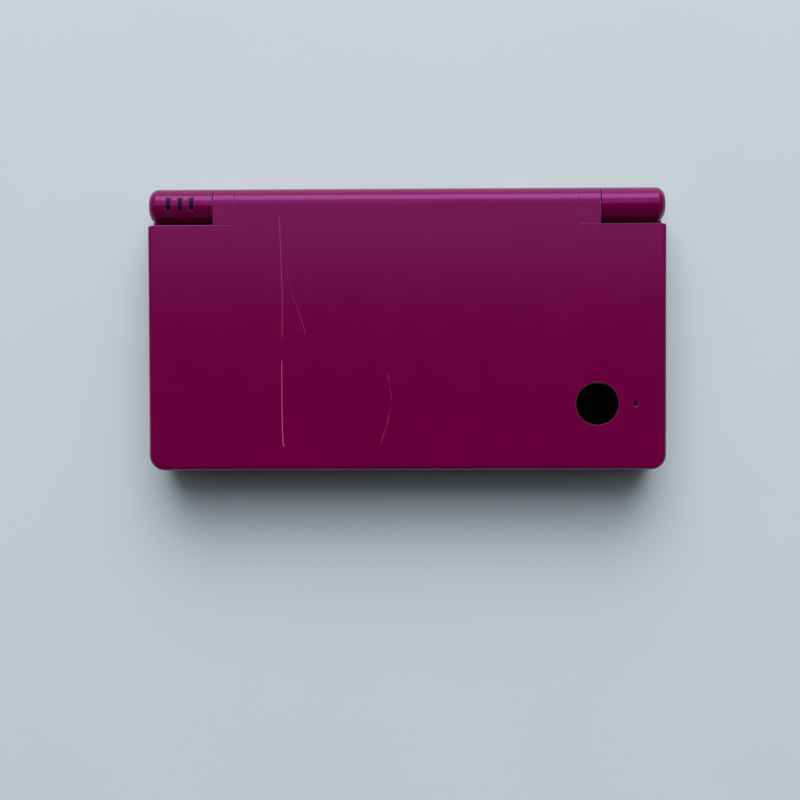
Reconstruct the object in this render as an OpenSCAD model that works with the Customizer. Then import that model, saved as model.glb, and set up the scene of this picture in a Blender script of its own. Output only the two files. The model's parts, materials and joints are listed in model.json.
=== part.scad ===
// Clamshell handheld game console, closed, lying on its feet.
// X runs along the width, -Y is the front edge, +Y the hinge edge and +Z is up through the lid.
// The origin is at the middle of the outline, on the surface that the feet rest on.

/* [Overall] */
// Width of the closed console
body_w = 137; // [125:0.5:166]
// Depth of the closed console, hinge barrel included
body_d = 74.9; // [70:0.1:90]
// Height of the base, from the surface it rests on to the top of its deck
base_h = 10.6; // [10:0.1:13]
// Gap between the deck and the closed lid
lid_gap = 1; // [0.9:0.05:1.3]
// Thickness of the lid
lid_h = 7.3; // [6.6:0.1:9]

/* [Casing] */
// Wall thickness of the four casing shells
wall = 1.2; // [1:0.05:1.45]
// Corner radius of the outline at the front
front_r = 4; // [3:0.1:5]
// Corner radius of the outline at the hinge
rear_r = 2.5; // [2:0.1:3]
// Rounding of the lid's upper edge
lid_edge = 1.3; // [0.8:0.1:1.6]
// Rounding of the base's lower edge
base_edge = 1.6; // [0.8:0.1:2]
// Height of the seam between the bottom case and the deck
case_seam = 6; // [6:0.1:6.6]
// Height of the lid's inner frame, from its screen side up to the seam with the cover
frame_h = 2.6; // [2.4:0.1:3.2]
// Seam gap between shells that meet side by side
seam_gap = 0.1; // [0.05:0.01:0.2]
// Height of the rubber feet
foot_h = 0.4; // [0.3:0.05:0.6]
// Radius of the rubber feet
foot_r = 2.8; // [2:0.1:3.5]

/* [Hinge] */
// Radius of the hinge barrel
barrel_r = 4.6; // [4.4:0.05:4.8]
// Length of each end barrel, which belongs to the base
end_barrel_l = 17.2; // [15:0.1:20.6]
// Length of each knuckle of the lid
knuckle_l = 5.6; // [5:0.1:7]
// Side gap between an end barrel and a knuckle
knuckle_gap = 0.2; // [0.1:0.05:0.4]
// Gap between the lid's barrel and the channel in the deck
channel_gap = 0.25; // [0.2:0.05:0.4]
// Gap between the lid and the end barrels, seen from above
notch_gap = 0.8; // [0.6:0.1:1.2]
// Outer radius of the hinge bush and of the hinge cartridge
hinge_core_r = 2.85; // [2.4:0.05:3]
// Radius of the hinge shaft
shaft_r = 1.5; // [1.2:0.05:1.8]
// Radial clearance of a running fit
running_clear = 0.05; // [0.03:0.01:0.08]
// Radial clearance of a part that is glued or clipped in place
seat_clear = 0.02; // [0.01:0.01:0.04]

/* [Screens] */
// Width of each display's visible area
screen_w = 66; // [60:0.5:70]
// Depth of each display's visible area
screen_d = 49.5; // [45:0.5:52]
// Distance from the front edge to the middle of the lower display
lower_screen_y = 31.1; // [29:0.1:33]
// Distance from the front edge to the middle of the upper display
upper_screen_y = 33.4; // [31.5:0.1:34]
// Border of the lower display panel around its visible area
panel_border = 3.8; // [3:0.1:4.5]
// Border of the clear window around the upper display's visible area
window_border = 9; // [7:0.1:9.5]
// Thickness of the touch panel
touch_t = 1; // [0.8:0.05:1.2]
// Thickness of the lower display
lower_display_t = 2.2; // [1.9:0.05:2.25]
// Thickness of the upper display
upper_display_t = 2.4; // [2:0.05:3]
// Thickness of the clear window in the lid
window_t = 0.8; // [0.6:0.05:0.95]
// Thickness of the deck above the touch panel
deck_lip = 0.6; // [0.5:0.05:0.8]

/* [Controls] */
// Distance from the side to the middle of the direction pad and of the action buttons
pad_inset = 15.5; // [15:0.1:17]
// Distance from the hinge axis to the middle of the pad and of the action buttons
pad_back = 25.85; // [24:0.1:28]
// Length of the direction pad's arms, tip to tip
dpad_w = 20; // [16.7:0.1:21]
// Width of each arm of the direction pad
dpad_arm = 7; // [6:0.1:8]
// Radius of an action button
action_r = 3.4; // [2.8:0.1:4.08]
// Distance from the middle of the cluster to each action button
action_spread = 9.5; // [8.8:0.1:10]
// Radius of the start, select and power buttons
small_r = 2.1; // [1.7:0.1:2.5]
// Distance from the start button to the select button
small_pitch = 6.5; // [6.2:0.1:7.5]
// How far the controls stand above the deck
control_proud = 0.45; // [0.3:0.05:0.5]
// Travel of a push button
button_travel = 0.5; // [0.3:0.05:0.5]
// Gap between a control and its hole in the casing
control_gap = 0.25; // [0.2:0.05:0.35]
// Width of each shoulder button
shoulder_w = 22.2; // [19:0.1:24]
// Height of each shoulder button
shoulder_h = 5.1; // [4.2:0.1:5.2]
// Depth of a shoulder button's face on the side of the base
shoulder_d = 7.15; // [6:0.05:8]
// Gap in front of a shoulder button, which its swing uses up
shoulder_gap = 0.85; // [0.8:0.05:1.1]
// Length of the volume rocker
rocker_l = 12; // [10:0.1:14]
// Height of the volume rocker
rocker_h = 1.8; // [1.5:0.1:2.1]

/* [Battery, stylus and cards] */
// Width of the battery
battery_w = 56; // [46.6:0.5:57]
// Depth of the battery
battery_d = 26.9; // [22:0.1:27]
// Height of the battery
battery_h = 4.5; // [3.7:0.1:4.6]
// Diameter of the stylus
stylus_dia = 4.4; // [3.7:0.1:4.4]
// Length of the stylus
stylus_l = 92; // [77:0.5:93]
// Width of the game card slot
card_slot_w = 33.8; // [30:0.1:36]
// Depth of the game card slot
card_slot_d = 34.4; // [30:0.1:35]
// Height of the game card slot's floor above the bottom case's inner face
card_floor = 0.02; // [0:0.01:0.1]
// Width of the memory card slot
sd_slot_w = 24.4; // [22:0.1:26]
// Height of the memory card slot's mouth
sd_slot_h = 3.4; // [3:0.1:3.6]
// Bore radius of the headphone jack
jack_bore_r = 1.8; // [1.5:0.05:2]

/* [Cameras and lights] */
// Radius of the outer camera's window
camera_window_r = 5.6; // [4.7:0.1:6]
// Distance from the right side to the middle of the outer camera
camera_inset_x = 18.3; // [17:0.1:20]
// Distance from the front edge to the middle of the outer camera
camera_inset_y = 17.5; // [13:0.1:17.6]
// Distance from the outer camera to its indicator light
camera_light_offset = 10; // [9:0.1:10.5]
// Radius of the outer camera's indicator light
camera_light_r = 0.65; // [0.5:0.05:0.8]
// Width of each status light slot in the left end barrel
light_w = 1.05; // [0.8:0.05:1.3]
// Distance from one status light to the next
light_pitch = 3.05; // [2.6:0.05:3.4]

/* [Hidden] */
$fn = 64;

// Cuts run this far past the face that they leave through
over = 1;

// Heights
deck_top = base_h;
deck_under = deck_top - wall;
case_bottom = foot_h;
case_floor = case_bottom + wall;
lid_bottom = base_h + lid_gap;
lid_seam = lid_bottom + frame_h;
frame_top = lid_bottom + wall;
total_h = lid_bottom + lid_h;
cover_under = total_h - wall;

// Outline
half_w = body_w / 2;
half_d = body_d / 2;
inner_half_w = half_w - wall;
inner_half_d = half_d - wall;

// Hinge axis, its barrels along X and the lid's edge in front of them
hinge_y = half_d - barrel_r;
hinge_z = total_h - barrel_r;
end_barrel_x = half_w - end_barrel_l;
knuckle_out = end_barrel_x - knuckle_gap;
knuckle_in = knuckle_out - knuckle_l;
tongue_x = knuckle_in - seam_gap;
core_gap = 0.55;
barrel_in_r = min(barrel_r - wall, hinge_core_r + core_gap);
lid_rear = hinge_y - barrel_r - notch_gap;
channel_r = barrel_r + channel_gap;
channel_wall = 1.05;
channel_lip = 4.4;
core_bore_r = hinge_core_r + running_clear;
bush_bore_r = hinge_core_r + seat_clear;
bush_wall = 0.95;
bush_l = 13.1;
ribbon_gap = 0.4;
ribbon_r = hinge_core_r - bush_wall - ribbon_gap;
ribbon_w = 4;
ribbon_t = 0.3;
ribbon_in_x = 9.5;
ribbon_roll_l = 15.5;
ribbon_drop = 0.9;
ribbon_reach = 6;
socket_l = 8.7;

// Screws: thread radius, head radius, head height, and the bosses that take them
screw_r = 0.8;
screw_head_r = 1.6;
screw_head_h = 0.8;
screw_hole_r = 0.95;
screw_bore_r = screw_r + seat_clear;
boss_r = 2.2;
pocket_r = screw_head_r + 0.15;

// Case screws, as places in plan
case_screw_places = [
  [-half_w + 5.1, -half_d + 5.05],
  [half_w - 5.1, -half_d + 9.85],
  [-39.5, hinge_y - 7.25],
  [39.5, hinge_y - 7.25],
  [-41, -half_d + 5.05],
  [41, -half_d + 9.85]
];
case_screw_seat = case_floor + 0.4;
case_screw_top = deck_under - 0.6;

// Lid screws and the bumpers over them
lid_screw_places = [
  [-half_w + 6.5, -half_d + 5.95],
  [half_w - 6.5, -half_d + 5.95],
  [-half_w + 6.5, lid_rear - 7.45],
  [half_w - 6.5, lid_rear - 7.45]
];
bumper_r = 2.6;
bumper_pocket = 0.5;
bumper_gap = 0.2;
lid_screw_seat = lid_bottom + 1.4;
lid_boss_h = 1.2;

// Lower display stack, from the deck's lip down
lower_y = -half_d + lower_screen_y;
touch_top = deck_top - deck_lip;
touch_bottom = touch_top - touch_t;
lower_display_bottom = touch_bottom - lower_display_t;
bezel_reveal = 0.4;
pocket_gap = 0.3;
panel_half_w = screen_w / 2 + panel_border;
panel_half_d = screen_d / 2 + panel_border;

// Upper display stack, from the lid's screen side up
upper_y = -half_d + upper_screen_y;
window_half_w = screen_w / 2 + window_border;
window_half_d = screen_d / 2 + 4.6;
upper_opening = 1.2;
window_gap = 0.1;

// Main board
board_t = 0.8;
board_bottom = case_seam - seam_gap;
board_top = board_bottom + board_t;
board_gap = 0.3;

// Controls
pad_x = half_w - pad_inset;
pad_y = hinge_y - pad_back;
control_top = deck_top + control_proud;
flange_w = 0.9;
flange_top = deck_under - 0.2;
flange_t = 0.7;
button_bottom = flange_top - flange_t;
dpad_flange_top = deck_under - 0.6;
dpad_flange_t = 0.55;
dpad_flange_r = dpad_w / 2 + 0.6;
dpad_rubber_t = 0.65;
dpad_rubber_r = dpad_w / 2 - 1;
dpad_rubber_top = dpad_flange_top - dpad_flange_t - 0.42;
rubber_sheet = 0.4;
dome_top = button_bottom - button_travel - 0.1;
start_y = pad_y - 22;
select_y = start_y - small_pitch;
power_y = pad_y - 27;

// Shoulder buttons
shoulder_x = half_w - shoulder_w;
shoulder_y = half_d - shoulder_d;
shoulder_low = case_seam - 2.8;
shoulder_high = shoulder_low + shoulder_h;
shoulder_wall = 1.4;
shoulder_side_gap = 0.15;
shoulder_pin_r = 0.9;
shoulder_pin_x = shoulder_x + 2.2;
shoulder_pin_y = half_d - 3.25;
lug_r = 1.9;
lug_low = shoulder_low + 0.8;
lug_h = 1.5;
spring_r = 1.8;
spring_h = 1.8;
pusher_x = half_w - 7.5;
pusher_w = 2;
pusher_l = 1.35;
shoulder_push_gap = 0.8;

// Volume rocker
rocker_y = pad_y + 4;
rocker_z = case_seam - 2;
rocker_low = rocker_z - rocker_h / 2;
rocker_high = rocker_z + rocker_h / 2;
rocker_gap = 0.15;
rocker_t = 2;
rocker_flange = 1;
rocker_flange_t = 0.5;
rocker_flange_x = -half_w + wall + 0.5;

// Battery, its cover and the stylus beside it
stylus_r = stylus_dia / 2;
stylus_hole_r = stylus_r + 0.1;
stylus_y = -half_d + 4.45;
stylus_cap_x = half_w - 0.5;
stylus_z = case_seam - 2.35;
stylus_trough_y = stylus_y + stylus_hole_r + 0.6;
cover_gap = 0.15;
hatch_x0 = -23.2;
hatch_x1 = hatch_x0 + battery_w + 2.4;
hatch_y0 = stylus_trough_y + 0.3;
hatch_y1 = hatch_y0 + battery_d + 1.1;
hatch_tab = 5;
hatch_tab_t = 0.7;
hatch_screw_places = [
  [hatch_x0 + 2.6, hatch_y1 + 2.7],
  [hatch_x1 - 2.6, hatch_y1 + 2.7]
];
hatch_screw_head_h = 0.38;
hatch_screw_head_r = 1.3;
hatch_boss_top = case_floor + 2.9;
rib_t = 0.8;
battery_bottom = case_floor + 0.3;

// Card slots
card_half_w = card_slot_w / 2;
card_front = half_d - card_slot_d;
card_side_t = 1;
card_back_t = 4;
card_roof = board_bottom - 0.05;
sd_x = 31.5;
sd_y = pad_y - 16.5;
sd_low = case_floor + 1;
sd_high = sd_low + 2.6;
sd_mouth_low = case_seam - 3.8;
sd_mouth_high = sd_mouth_low + sd_slot_h;
flap_t = 1;
flap_gap = 0.15;
flap_pin_r = 0.3;
flap_pin_l = 0.8;
flap_x = half_w - flap_t / 2;
flap_z = sd_mouth_low + flap_gap + flap_t / 2;

// Sockets
jack_x = -half_w + 20;
jack_z = case_floor + 2.1;
jack_half_w = 3.4;
jack_l = 12.2;
jack_nose_w = 4.2;
port_x = 30.5;
port_half_w = 4;
port_low = case_floor + 0.7;
port_mouth_half_w = 3;
port_mouth_low = port_low + 0.6;
port_mouth_h = 2.2;

// Cameras, microphone and lights
camera_x = half_w - camera_inset_x;
camera_y = -half_d + camera_inset_y;
camera_module_w = 8;
camera_lens_r = 2.6;
window_ledge = 0.3;
window_disc_t = 0.8;
inner_camera_r = 1.7;
microphone_x = 9;
light_x = -half_w + 5.6;
light_back = 23;
light_front = 19;
light_depth = 1.1;
light_gap = 0.04;
speaker_x = half_w - 16.5;
speaker_half_w = 4.5;
speaker_half_d = 9;
speaker_t = 3.2;
speaker_slot_w = 1.2;
speaker_slot_l = 6.5;
speaker_slot_pitch = 2.4;

// Colours of the materials
shell_colour = [0.46, 0.05, 0.31];
screen_colour = [0.06, 0.06, 0.07];
board_colour = [0.07, 0.30, 0.22];
metal_colour = [0.72, 0.73, 0.75];
rubber_colour = [0.16, 0.16, 0.17];
amber_colour = [0.80, 0.52, 0.20];

// Box between two opposite corners
module span(low, high) {
  translate(low)
    cube([high[0] - low[0], high[1] - low[1], high[2] - low[2]]);
}

// Upright round rod
module post(place, low, high, r) {
  translate([place[0], place[1], low])
    cylinder(h = high - low, r = r);
}

// Round rod along X
module rod_x(x0, x1, y, z, r) {
  translate([x0, y, z])
    rotate([0, 90, 0])
      cylinder(h = x1 - x0, r = r);
}

// Round rod along Y
module rod_y(x, y0, y1, z, r) {
  translate([x, y0, z])
    rotate([-90, 0, 0])
      cylinder(h = y1 - y0, r = r);
}

// The same shape at both sides of the middle plane
module both_sides() {
  for (side = [0, 1])
    mirror([side, 0, 0])
      children();
}

// Quarter of a disc, in the first quadrant
module quarter_disc(r) {
  intersection() {
    circle(r);
    square(2 * r);
  }
}

// Section of a block from its middle out to its side, with the outer upper edge rounded
module rim_section(w, h, edge) {
  if (edge > 0) {
    square([w - edge, h]);
    translate([w - edge, 0])
      square([edge, h - edge]);
    translate([w - edge, h - edge])
      quarter_disc(edge);
  } else {
    square([w, h]);
  }
}

// Band across one end of a block: a strip, and a quarter-round corner at each side
module end_band(half, r, h, edge) {
  rotate([90, 0, 90])
    linear_extrude(2 * (half - r), center = true)
      rim_section(r, h, edge);
  both_sides()
    translate([half - r, 0, 0])
      rotate_extrude(angle = 90)
        rim_section(r, h, edge);
}

// Block with rounded upright corners and a rounded upper edge, centred on X
module soft_block(half, y0, y1, z0, z1, r_front, r_rear, edge) {
  h = z1 - z0;
  translate([0, y1 - r_rear, z0])
    rotate([90, 0, 0])
      linear_extrude(y1 - y0 - r_front - r_rear)
        for (side = [0, 1])
          mirror([side, 0])
            rim_section(half, h, edge);
  translate([0, y0 + r_front, z0])
    mirror([0, 1, 0])
      end_band(half, r_front, h, edge);
  if (r_rear > 0)
    translate([0, y1 - r_rear, z0])
      end_band(half, r_rear, h, edge);
}

// The same block with its lower edge rounded
module low_soft_block(half, y0, y1, z0, z1, r_front, r_rear, edge) {
  mirror([0, 0, 1])
    soft_block(half, y0, y1, -z1, -z0, r_front, r_rear, edge);
}

// Plate with four rounded corners
module round_plate(x0, x1, y0, y1, z0, z1, r) {
  translate([(x0 + x1) / 2, 0, 0])
    soft_block((x1 - x0) / 2, y0, y1, z0, z1, r, r, 0);
}

// Outline in the YZ plane, drawn about the hinge axis and stretched along X to both sides
module hinge_extrude(half) {
  translate([0, hinge_y, hinge_z])
    rotate([90, 0, 90])
      linear_extrude(2 * half, center = true)
        children();
}

// Countersunk screw pointing up, with its head's upper face at the seat
module screw_up(place, seat, top, head_r, head_h) {
  post(place, seat - head_h, seat, head_r);
  post(place, seat, top, screw_r);
}

// Cover of the lid: top plate, side walls and the rolled edge over the hinge barrel
module lid_cover() {
  color(shell_colour)
    difference() {
      union() {
        difference() {
          soft_block(half_w, -half_d, lid_rear, lid_seam, total_h, front_r, 0, lid_edge);
          soft_block(
            inner_half_w, -inner_half_d, lid_rear - wall, lid_seam - over, cover_under,
            front_r - wall, 0, 0
          );
          span([-tongue_x + wall, lid_rear - wall - over, lid_seam - over],
               [tongue_x - wall, lid_rear + over, cover_under]);
        }
        hinge_extrude(tongue_x) {
          translate([lid_rear - hinge_y - wall / 2, barrel_in_r])
            square([hinge_y - lid_rear + wall / 2, wall]);
          difference() {
            quarter_disc(barrel_r);
            circle(barrel_in_r);
          }
        }
        for (place = lid_screw_places)
          post(place, lid_screw_seat + lid_boss_h + seam_gap, cover_under + wall / 2, boss_r);
      }
      for (place = lid_screw_places)
        post(place, lid_seam - over - frame_h, cover_under - 0.4, screw_bore_r);
      post([camera_x, camera_y], total_h - window_disc_t - 0.1, total_h + over,
           camera_window_r + running_clear);
      post([camera_x, camera_y], cover_under - over, total_h, camera_window_r - 1.4);
      post([camera_x + camera_light_offset, camera_y], cover_under - over, total_h + over,
           camera_light_r + running_clear);
    }
}

// Section of a knuckle: a full barrel with a block in front that comes up level with the lid
module knuckle_section() {
  front = hinge_y - lid_rear - seam_gap;
  translate([-front, lid_bottom - hinge_z])
    square([front, lid_h]);
  intersection() {
    circle(barrel_r);
    translate([0, -2 * barrel_r])
      square([2 * barrel_r, 4 * barrel_r]);
  }
  rotate(180)
    quarter_disc(barrel_r);
}

// Section of the frame under the barrel between the knuckles
module trough_section() {
  plate_y = hinge_y - lid_rear + wall;
  difference() {
    union() {
      intersection() {
        circle(barrel_r);
        translate([-2 * barrel_r, -2 * barrel_r])
          square([4 * barrel_r, 2 * barrel_r]);
      }
      translate([-plate_y, lid_bottom - hinge_z])
        square([plate_y, wall]);
    }
    circle(barrel_in_r);
    translate([-plate_y - over, frame_top - hinge_z])
      square([plate_y + over, barrel_r]);
  }
}

// Inner frame of the lid: screen surround, knuckles and the lower half of the hinge barrel
module lid_inner_frame() {
  color(shell_colour)
    difference() {
      union() {
        difference() {
          low_soft_block(
            half_w, -half_d, lid_rear, lid_bottom, lid_seam, front_r, 0, wall / 2
          );
          soft_block(
            inner_half_w, -inner_half_d, lid_rear - wall, frame_top, lid_seam + over,
            front_r - wall, 0, 0
          );
          span([-tongue_x + wall, lid_rear - wall - over, frame_top],
               [tongue_x - wall, lid_rear + over, lid_seam + over]);
        }
        hinge_extrude(knuckle_in)
          trough_section();
        both_sides()
          translate([(knuckle_in + knuckle_out) / 2, 0, 0])
            hinge_extrude(knuckle_l / 2)
              knuckle_section();
        both_sides()
          span([knuckle_in, lid_rear - wall, lid_bottom],
               [knuckle_out, lid_rear + seam_gap, lid_seam]);
        for (place = lid_screw_places)
          post(place, frame_top - wall / 2, lid_screw_seat + lid_boss_h, boss_r);
      }
      both_sides()
        rod_x(knuckle_in - over, knuckle_out + over, hinge_y, hinge_z, core_bore_r);
      for (place = lid_screw_places) {
        post(place, lid_bottom - over, lid_bottom + bumper_pocket, bumper_r + running_clear);
        post(place, lid_bottom, lid_screw_seat, pocket_r);
        post(place, lid_bottom, lid_seam + over, screw_hole_r);
      }
      round_plate(-window_half_w - window_gap, window_half_w + window_gap,
                  upper_y - window_half_d - window_gap, upper_y + window_half_d + window_gap,
                  lid_bottom - over, lid_bottom + window_t, 1.5);
      span([-screen_w / 2 - upper_opening, upper_y - screen_d / 2 - upper_opening, lid_bottom],
           [screen_w / 2 + upper_opening, upper_y + screen_d / 2 + upper_opening, lid_seam]);
      both_sides()
        for (i = [-2:2])
          round_plate(speaker_x + i * speaker_slot_pitch - speaker_slot_w / 2,
                      speaker_x + i * speaker_slot_pitch + speaker_slot_w / 2,
                      upper_y - speaker_slot_l / 2, upper_y + speaker_slot_l / 2,
                      lid_bottom - over, frame_top + over, speaker_slot_w / 2 - 0.05);
      post([0, hinge_y], hinge_z - barrel_r - over, hinge_z - 2,
           inner_camera_r + running_clear);
      post([microphone_x, hinge_y], hinge_z - barrel_r - over, hinge_z - 2, 0.5);
    }
}

// Clear window over the upper display
module upper_screen_window() {
  color(screen_colour)
    round_plate(-window_half_w, window_half_w, upper_y - window_half_d, upper_y + window_half_d,
                lid_bottom + 0.05, lid_bottom + window_t, 1.5 - window_gap);
}

// Upper display, with its light guide and its metal back
module upper_display() {
  color(metal_colour)
    span([-screen_w / 2 - panel_border, upper_y - screen_d / 2 - 2.6, frame_top],
         [panel_half_w, upper_y + screen_d / 2 + 2.6, frame_top + upper_display_t]);
}

// Loudspeaker: an oblong body with its dome towards the slots in the frame
module speaker(side) {
  color(rubber_colour)
    translate([side * speaker_x, 0, 0]) {
      difference() {
        round_plate(-speaker_half_w, speaker_half_w, upper_y - speaker_half_d,
                    upper_y + speaker_half_d, frame_top, frame_top + speaker_t, 3);
        round_plate(-speaker_half_w + 1, speaker_half_w - 1, upper_y - speaker_half_d + 1,
                    upper_y + speaker_half_d - 1, frame_top - over, frame_top + 0.8, 2);
      }
      round_plate(-2, 2, upper_y - 5, upper_y + 5, frame_top + 0.3, frame_top + 1.2, 1.5);
    }
}

module left_speaker() {
  speaker(-1);
}

module right_speaker() {
  speaker(1);
}

// Glossy round window over the outer camera
module outer_camera_window() {
  color(screen_colour)
    post([camera_x, camera_y], total_h - window_disc_t - 0.1, total_h - 0.1, camera_window_r);
}

// Outer camera: square module with its lens barrel reaching up to the window
module outer_camera_module() {
  half = camera_module_w / 2;
  lens_top = total_h - window_disc_t - 0.1 - window_ledge;
  color(rubber_colour)
    difference() {
      union() {
        span([camera_x - half, camera_y - half, frame_top],
             [camera_x + half, camera_y + half, cover_under - 0.1]);
        post([camera_x, camera_y], cover_under - over, lens_top, camera_lens_r);
      }
      post([camera_x, camera_y], lens_top - 0.4, lens_top + over, camera_lens_r - 1);
    }
}

// Light pipe of the camera's indicator, with its flange under the cover
module camera_light_pipe() {
  place = [camera_x + camera_light_offset, camera_y];
  color(screen_colour) {
    post(place, cover_under - 0.8, total_h - 0.1, camera_light_r);
    post(place, cover_under - 1.2, cover_under, 1.4);
  }
}

// Inner camera, in the barrel between the knuckles
module inner_camera() {
  low = hinge_z - barrel_r + 0.15;
  color(rubber_colour)
    difference() {
      post([0, hinge_y], low, hinge_z - 1.6, inner_camera_r);
      post([0, hinge_y], low - over, low + 0.3, inner_camera_r - 0.7);
    }
}

// Microphone capsule over its sound hole
module microphone() {
  low = hinge_z - sqrt(pow(barrel_in_r, 2) - pow(1.8, 2));
  color(metal_colour)
    post([microphone_x, hinge_y], low, low + 1.5, 1.8);
}

// Rubber bumpers that cover the lid's screws and meet the deck when the lid shuts
module lid_bumpers() {
  color(rubber_colour)
    for (place = lid_screw_places)
      post(place, deck_top + bumper_gap, lid_bottom + bumper_pocket, bumper_r);
}

// Screws that hold the lid's frame to its cover
module lid_screws() {
  color(metal_colour)
    for (place = lid_screw_places)
      screw_up(place, lid_screw_seat, cover_under - 0.9, screw_head_r, screw_head_h);
}

// Hinge cartridge in the right knuckle: the friction clutch that turns on the shaft
module hinge_cartridge() {
  color(metal_colour)
    difference() {
      rod_x(knuckle_in - 1.5, knuckle_out - 0.1, hinge_y, hinge_z, hinge_core_r);
      rod_x(knuckle_in - 1.5 - over, knuckle_out + over, hinge_y, hinge_z,
            shaft_r + running_clear);
    }
}

// Ribbon cable of the upper display, rolled up inside the barrel
module lid_ribbon() {
  color(amber_colour) {
    rod_x(-knuckle_in + 0.9, -knuckle_in + ribbon_roll_l, hinge_y, hinge_z, ribbon_r);
    span([-knuckle_in + ribbon_in_x, upper_y + screen_d / 2 + 2.6, hinge_z - ribbon_drop],
         [max(-knuckle_in + ribbon_in_x, -panel_half_w) + ribbon_w, hinge_y - 1,
          hinge_z - ribbon_drop + ribbon_t]);
  }
}

// Magnet that puts the console to sleep when the lid shuts
module sleep_magnet() {
  color(metal_colour)
    span([-half_w + 13.5, -half_d + 3.5, frame_top],
         [-half_w + 18.5, -half_d + 6.5, frame_top + 1.5]);
}

// Outer half round and square root of an end barrel, on the right
module end_barrel() {
  translate([end_barrel_x, hinge_y, hinge_z])
    rotate([90, 0, 90])
      rotate_extrude(angle = 180)
        rim_section(barrel_r, end_barrel_l, rear_r);
  translate([end_barrel_x, hinge_y, deck_top])
    linear_extrude(hinge_z - deck_top)
      for (flip = [0, 1])
        mirror([0, flip])
          mirror([1, -1])
            rim_section(barrel_r, end_barrel_l, rear_r);
}

// Arc-shaped bar that follows the left barrel's surface, for a status light or its slot
module light_bar(x, w, r_in, r_out, ease) {
  translate([x - w / 2, hinge_y, hinge_z])
    rotate([90, 0, 90])
      rotate([0, 0, 90 - light_back - ease])
        rotate_extrude(angle = light_back + light_front + 2 * ease)
          translate([r_in, 0])
            square([r_out - r_in, w]);
}

// Shoulder button's opening in the right of the casing
module shoulder_opening() {
  span([shoulder_x - shoulder_side_gap, shoulder_y - shoulder_gap, shoulder_low - shoulder_side_gap],
       [half_w + over, half_d + over, shoulder_high + shoulder_side_gap]);
}

// Deck of the base: control face, end barrels and the channel that the lid's barrel turns in
module base_deck() {
  color(shell_colour)
    difference() {
      union() {
        difference() {
          soft_block(half_w, -half_d, half_d, case_seam, deck_top, front_r, rear_r, 0);
          soft_block(
            inner_half_w, -inner_half_d, inner_half_d, case_seam - over, deck_under,
            front_r - wall, rear_r - wall, 0
          );
        }
        both_sides()
          end_barrel();
        intersection() {
          rod_x(-end_barrel_x - channel_wall, end_barrel_x + channel_wall, hinge_y, hinge_z,
                channel_r + channel_wall);
          span([-half_w, lid_rear, case_seam], [half_w, half_d - wall / 2, deck_top - wall / 2]);
        }
        for (place = case_screw_places)
          post(place, case_seam, deck_under + wall / 2, boss_r);
      }
      rod_x(-end_barrel_x, end_barrel_x, hinge_y, hinge_z, channel_r);
      span([-end_barrel_x, hinge_y, hinge_z - channel_lip],
           [end_barrel_x, half_d + over, hinge_z + barrel_r]);
      rod_x(end_barrel_x - over, end_barrel_x + socket_l, hinge_y, hinge_z,
            shaft_r + seat_clear);
      rod_x(-end_barrel_x - bush_l / 2, -end_barrel_x + over, hinge_y, hinge_z, bush_bore_r);
      rod_x(-half_w + 2 * wall, -end_barrel_x - bush_l / 2 + over, hinge_y, hinge_z,
            barrel_in_r - 0.6);
      span([-half_w + 2 * wall, hinge_y - 1, case_seam],
           [-half_w + 2 * wall + 6, hinge_y + 1, hinge_z]);
      for (i = [0:2])
        light_bar(light_x + i * light_pitch, light_w + 2 * light_gap,
                  barrel_r - light_depth - light_gap, barrel_r + over, 1);
      for (place = case_screw_places)
        post(place, case_seam - over, case_screw_top + 0.3, screw_bore_r);
      span([-screen_w / 2 - bezel_reveal, lower_y - screen_d / 2 - bezel_reveal, deck_under - over],
           [screen_w / 2 + bezel_reveal, lower_y + screen_d / 2 + bezel_reveal, deck_top + over]);
      span([-panel_half_w - pocket_gap, lower_y - panel_half_d - pocket_gap, deck_under - over],
           [panel_half_w + pocket_gap, lower_y + panel_half_d + pocket_gap, touch_top]);
      translate([-pad_x, pad_y, deck_under - over])
        for (turn = [0, 90])
          rotate(turn)
            translate([-dpad_w / 2 - control_gap, -dpad_arm / 2 - control_gap, 0])
              cube([dpad_w + 2 * control_gap, dpad_arm + 2 * control_gap, wall + 2 * over]);
      for (i = [0:3])
        post([pad_x, pad_y] + action_spread * [cos(90 * i), sin(90 * i)],
             deck_under - over, deck_top + over, action_r + control_gap);
      for (place = [[pad_x, start_y], [pad_x, select_y], [-pad_x, power_y]])
        post(place, deck_under - over, deck_top + over, small_r + control_gap);
      both_sides()
        shoulder_opening();
    }
}

// Floor hatch of the battery: a window, and a shallow step for the cover's screwed tab
module hatch_opening() {
  span([hatch_x0, hatch_y0, case_bottom - over], [hatch_x1, hatch_y1, case_floor + over]);
  span([hatch_x0, hatch_y1 - over, case_bottom - over],
       [hatch_x1, hatch_y1 + hatch_tab, case_bottom + hatch_tab_t + 0.05]);
  for (place = hatch_screw_places)
    post(place, case_bottom, hatch_boss_top + over, screw_bore_r);
}

// Space a little inside the bottom case's outer faces, which what is moulded onto them stays in
module case_inside() {
  inset = wall / 4;
  low_soft_block(
    half_w - inset, -half_d + inset, half_d - inset, case_bottom + inset, case_seam,
    front_r - inset, rear_r - inset, base_edge - inset
  );
}

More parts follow.
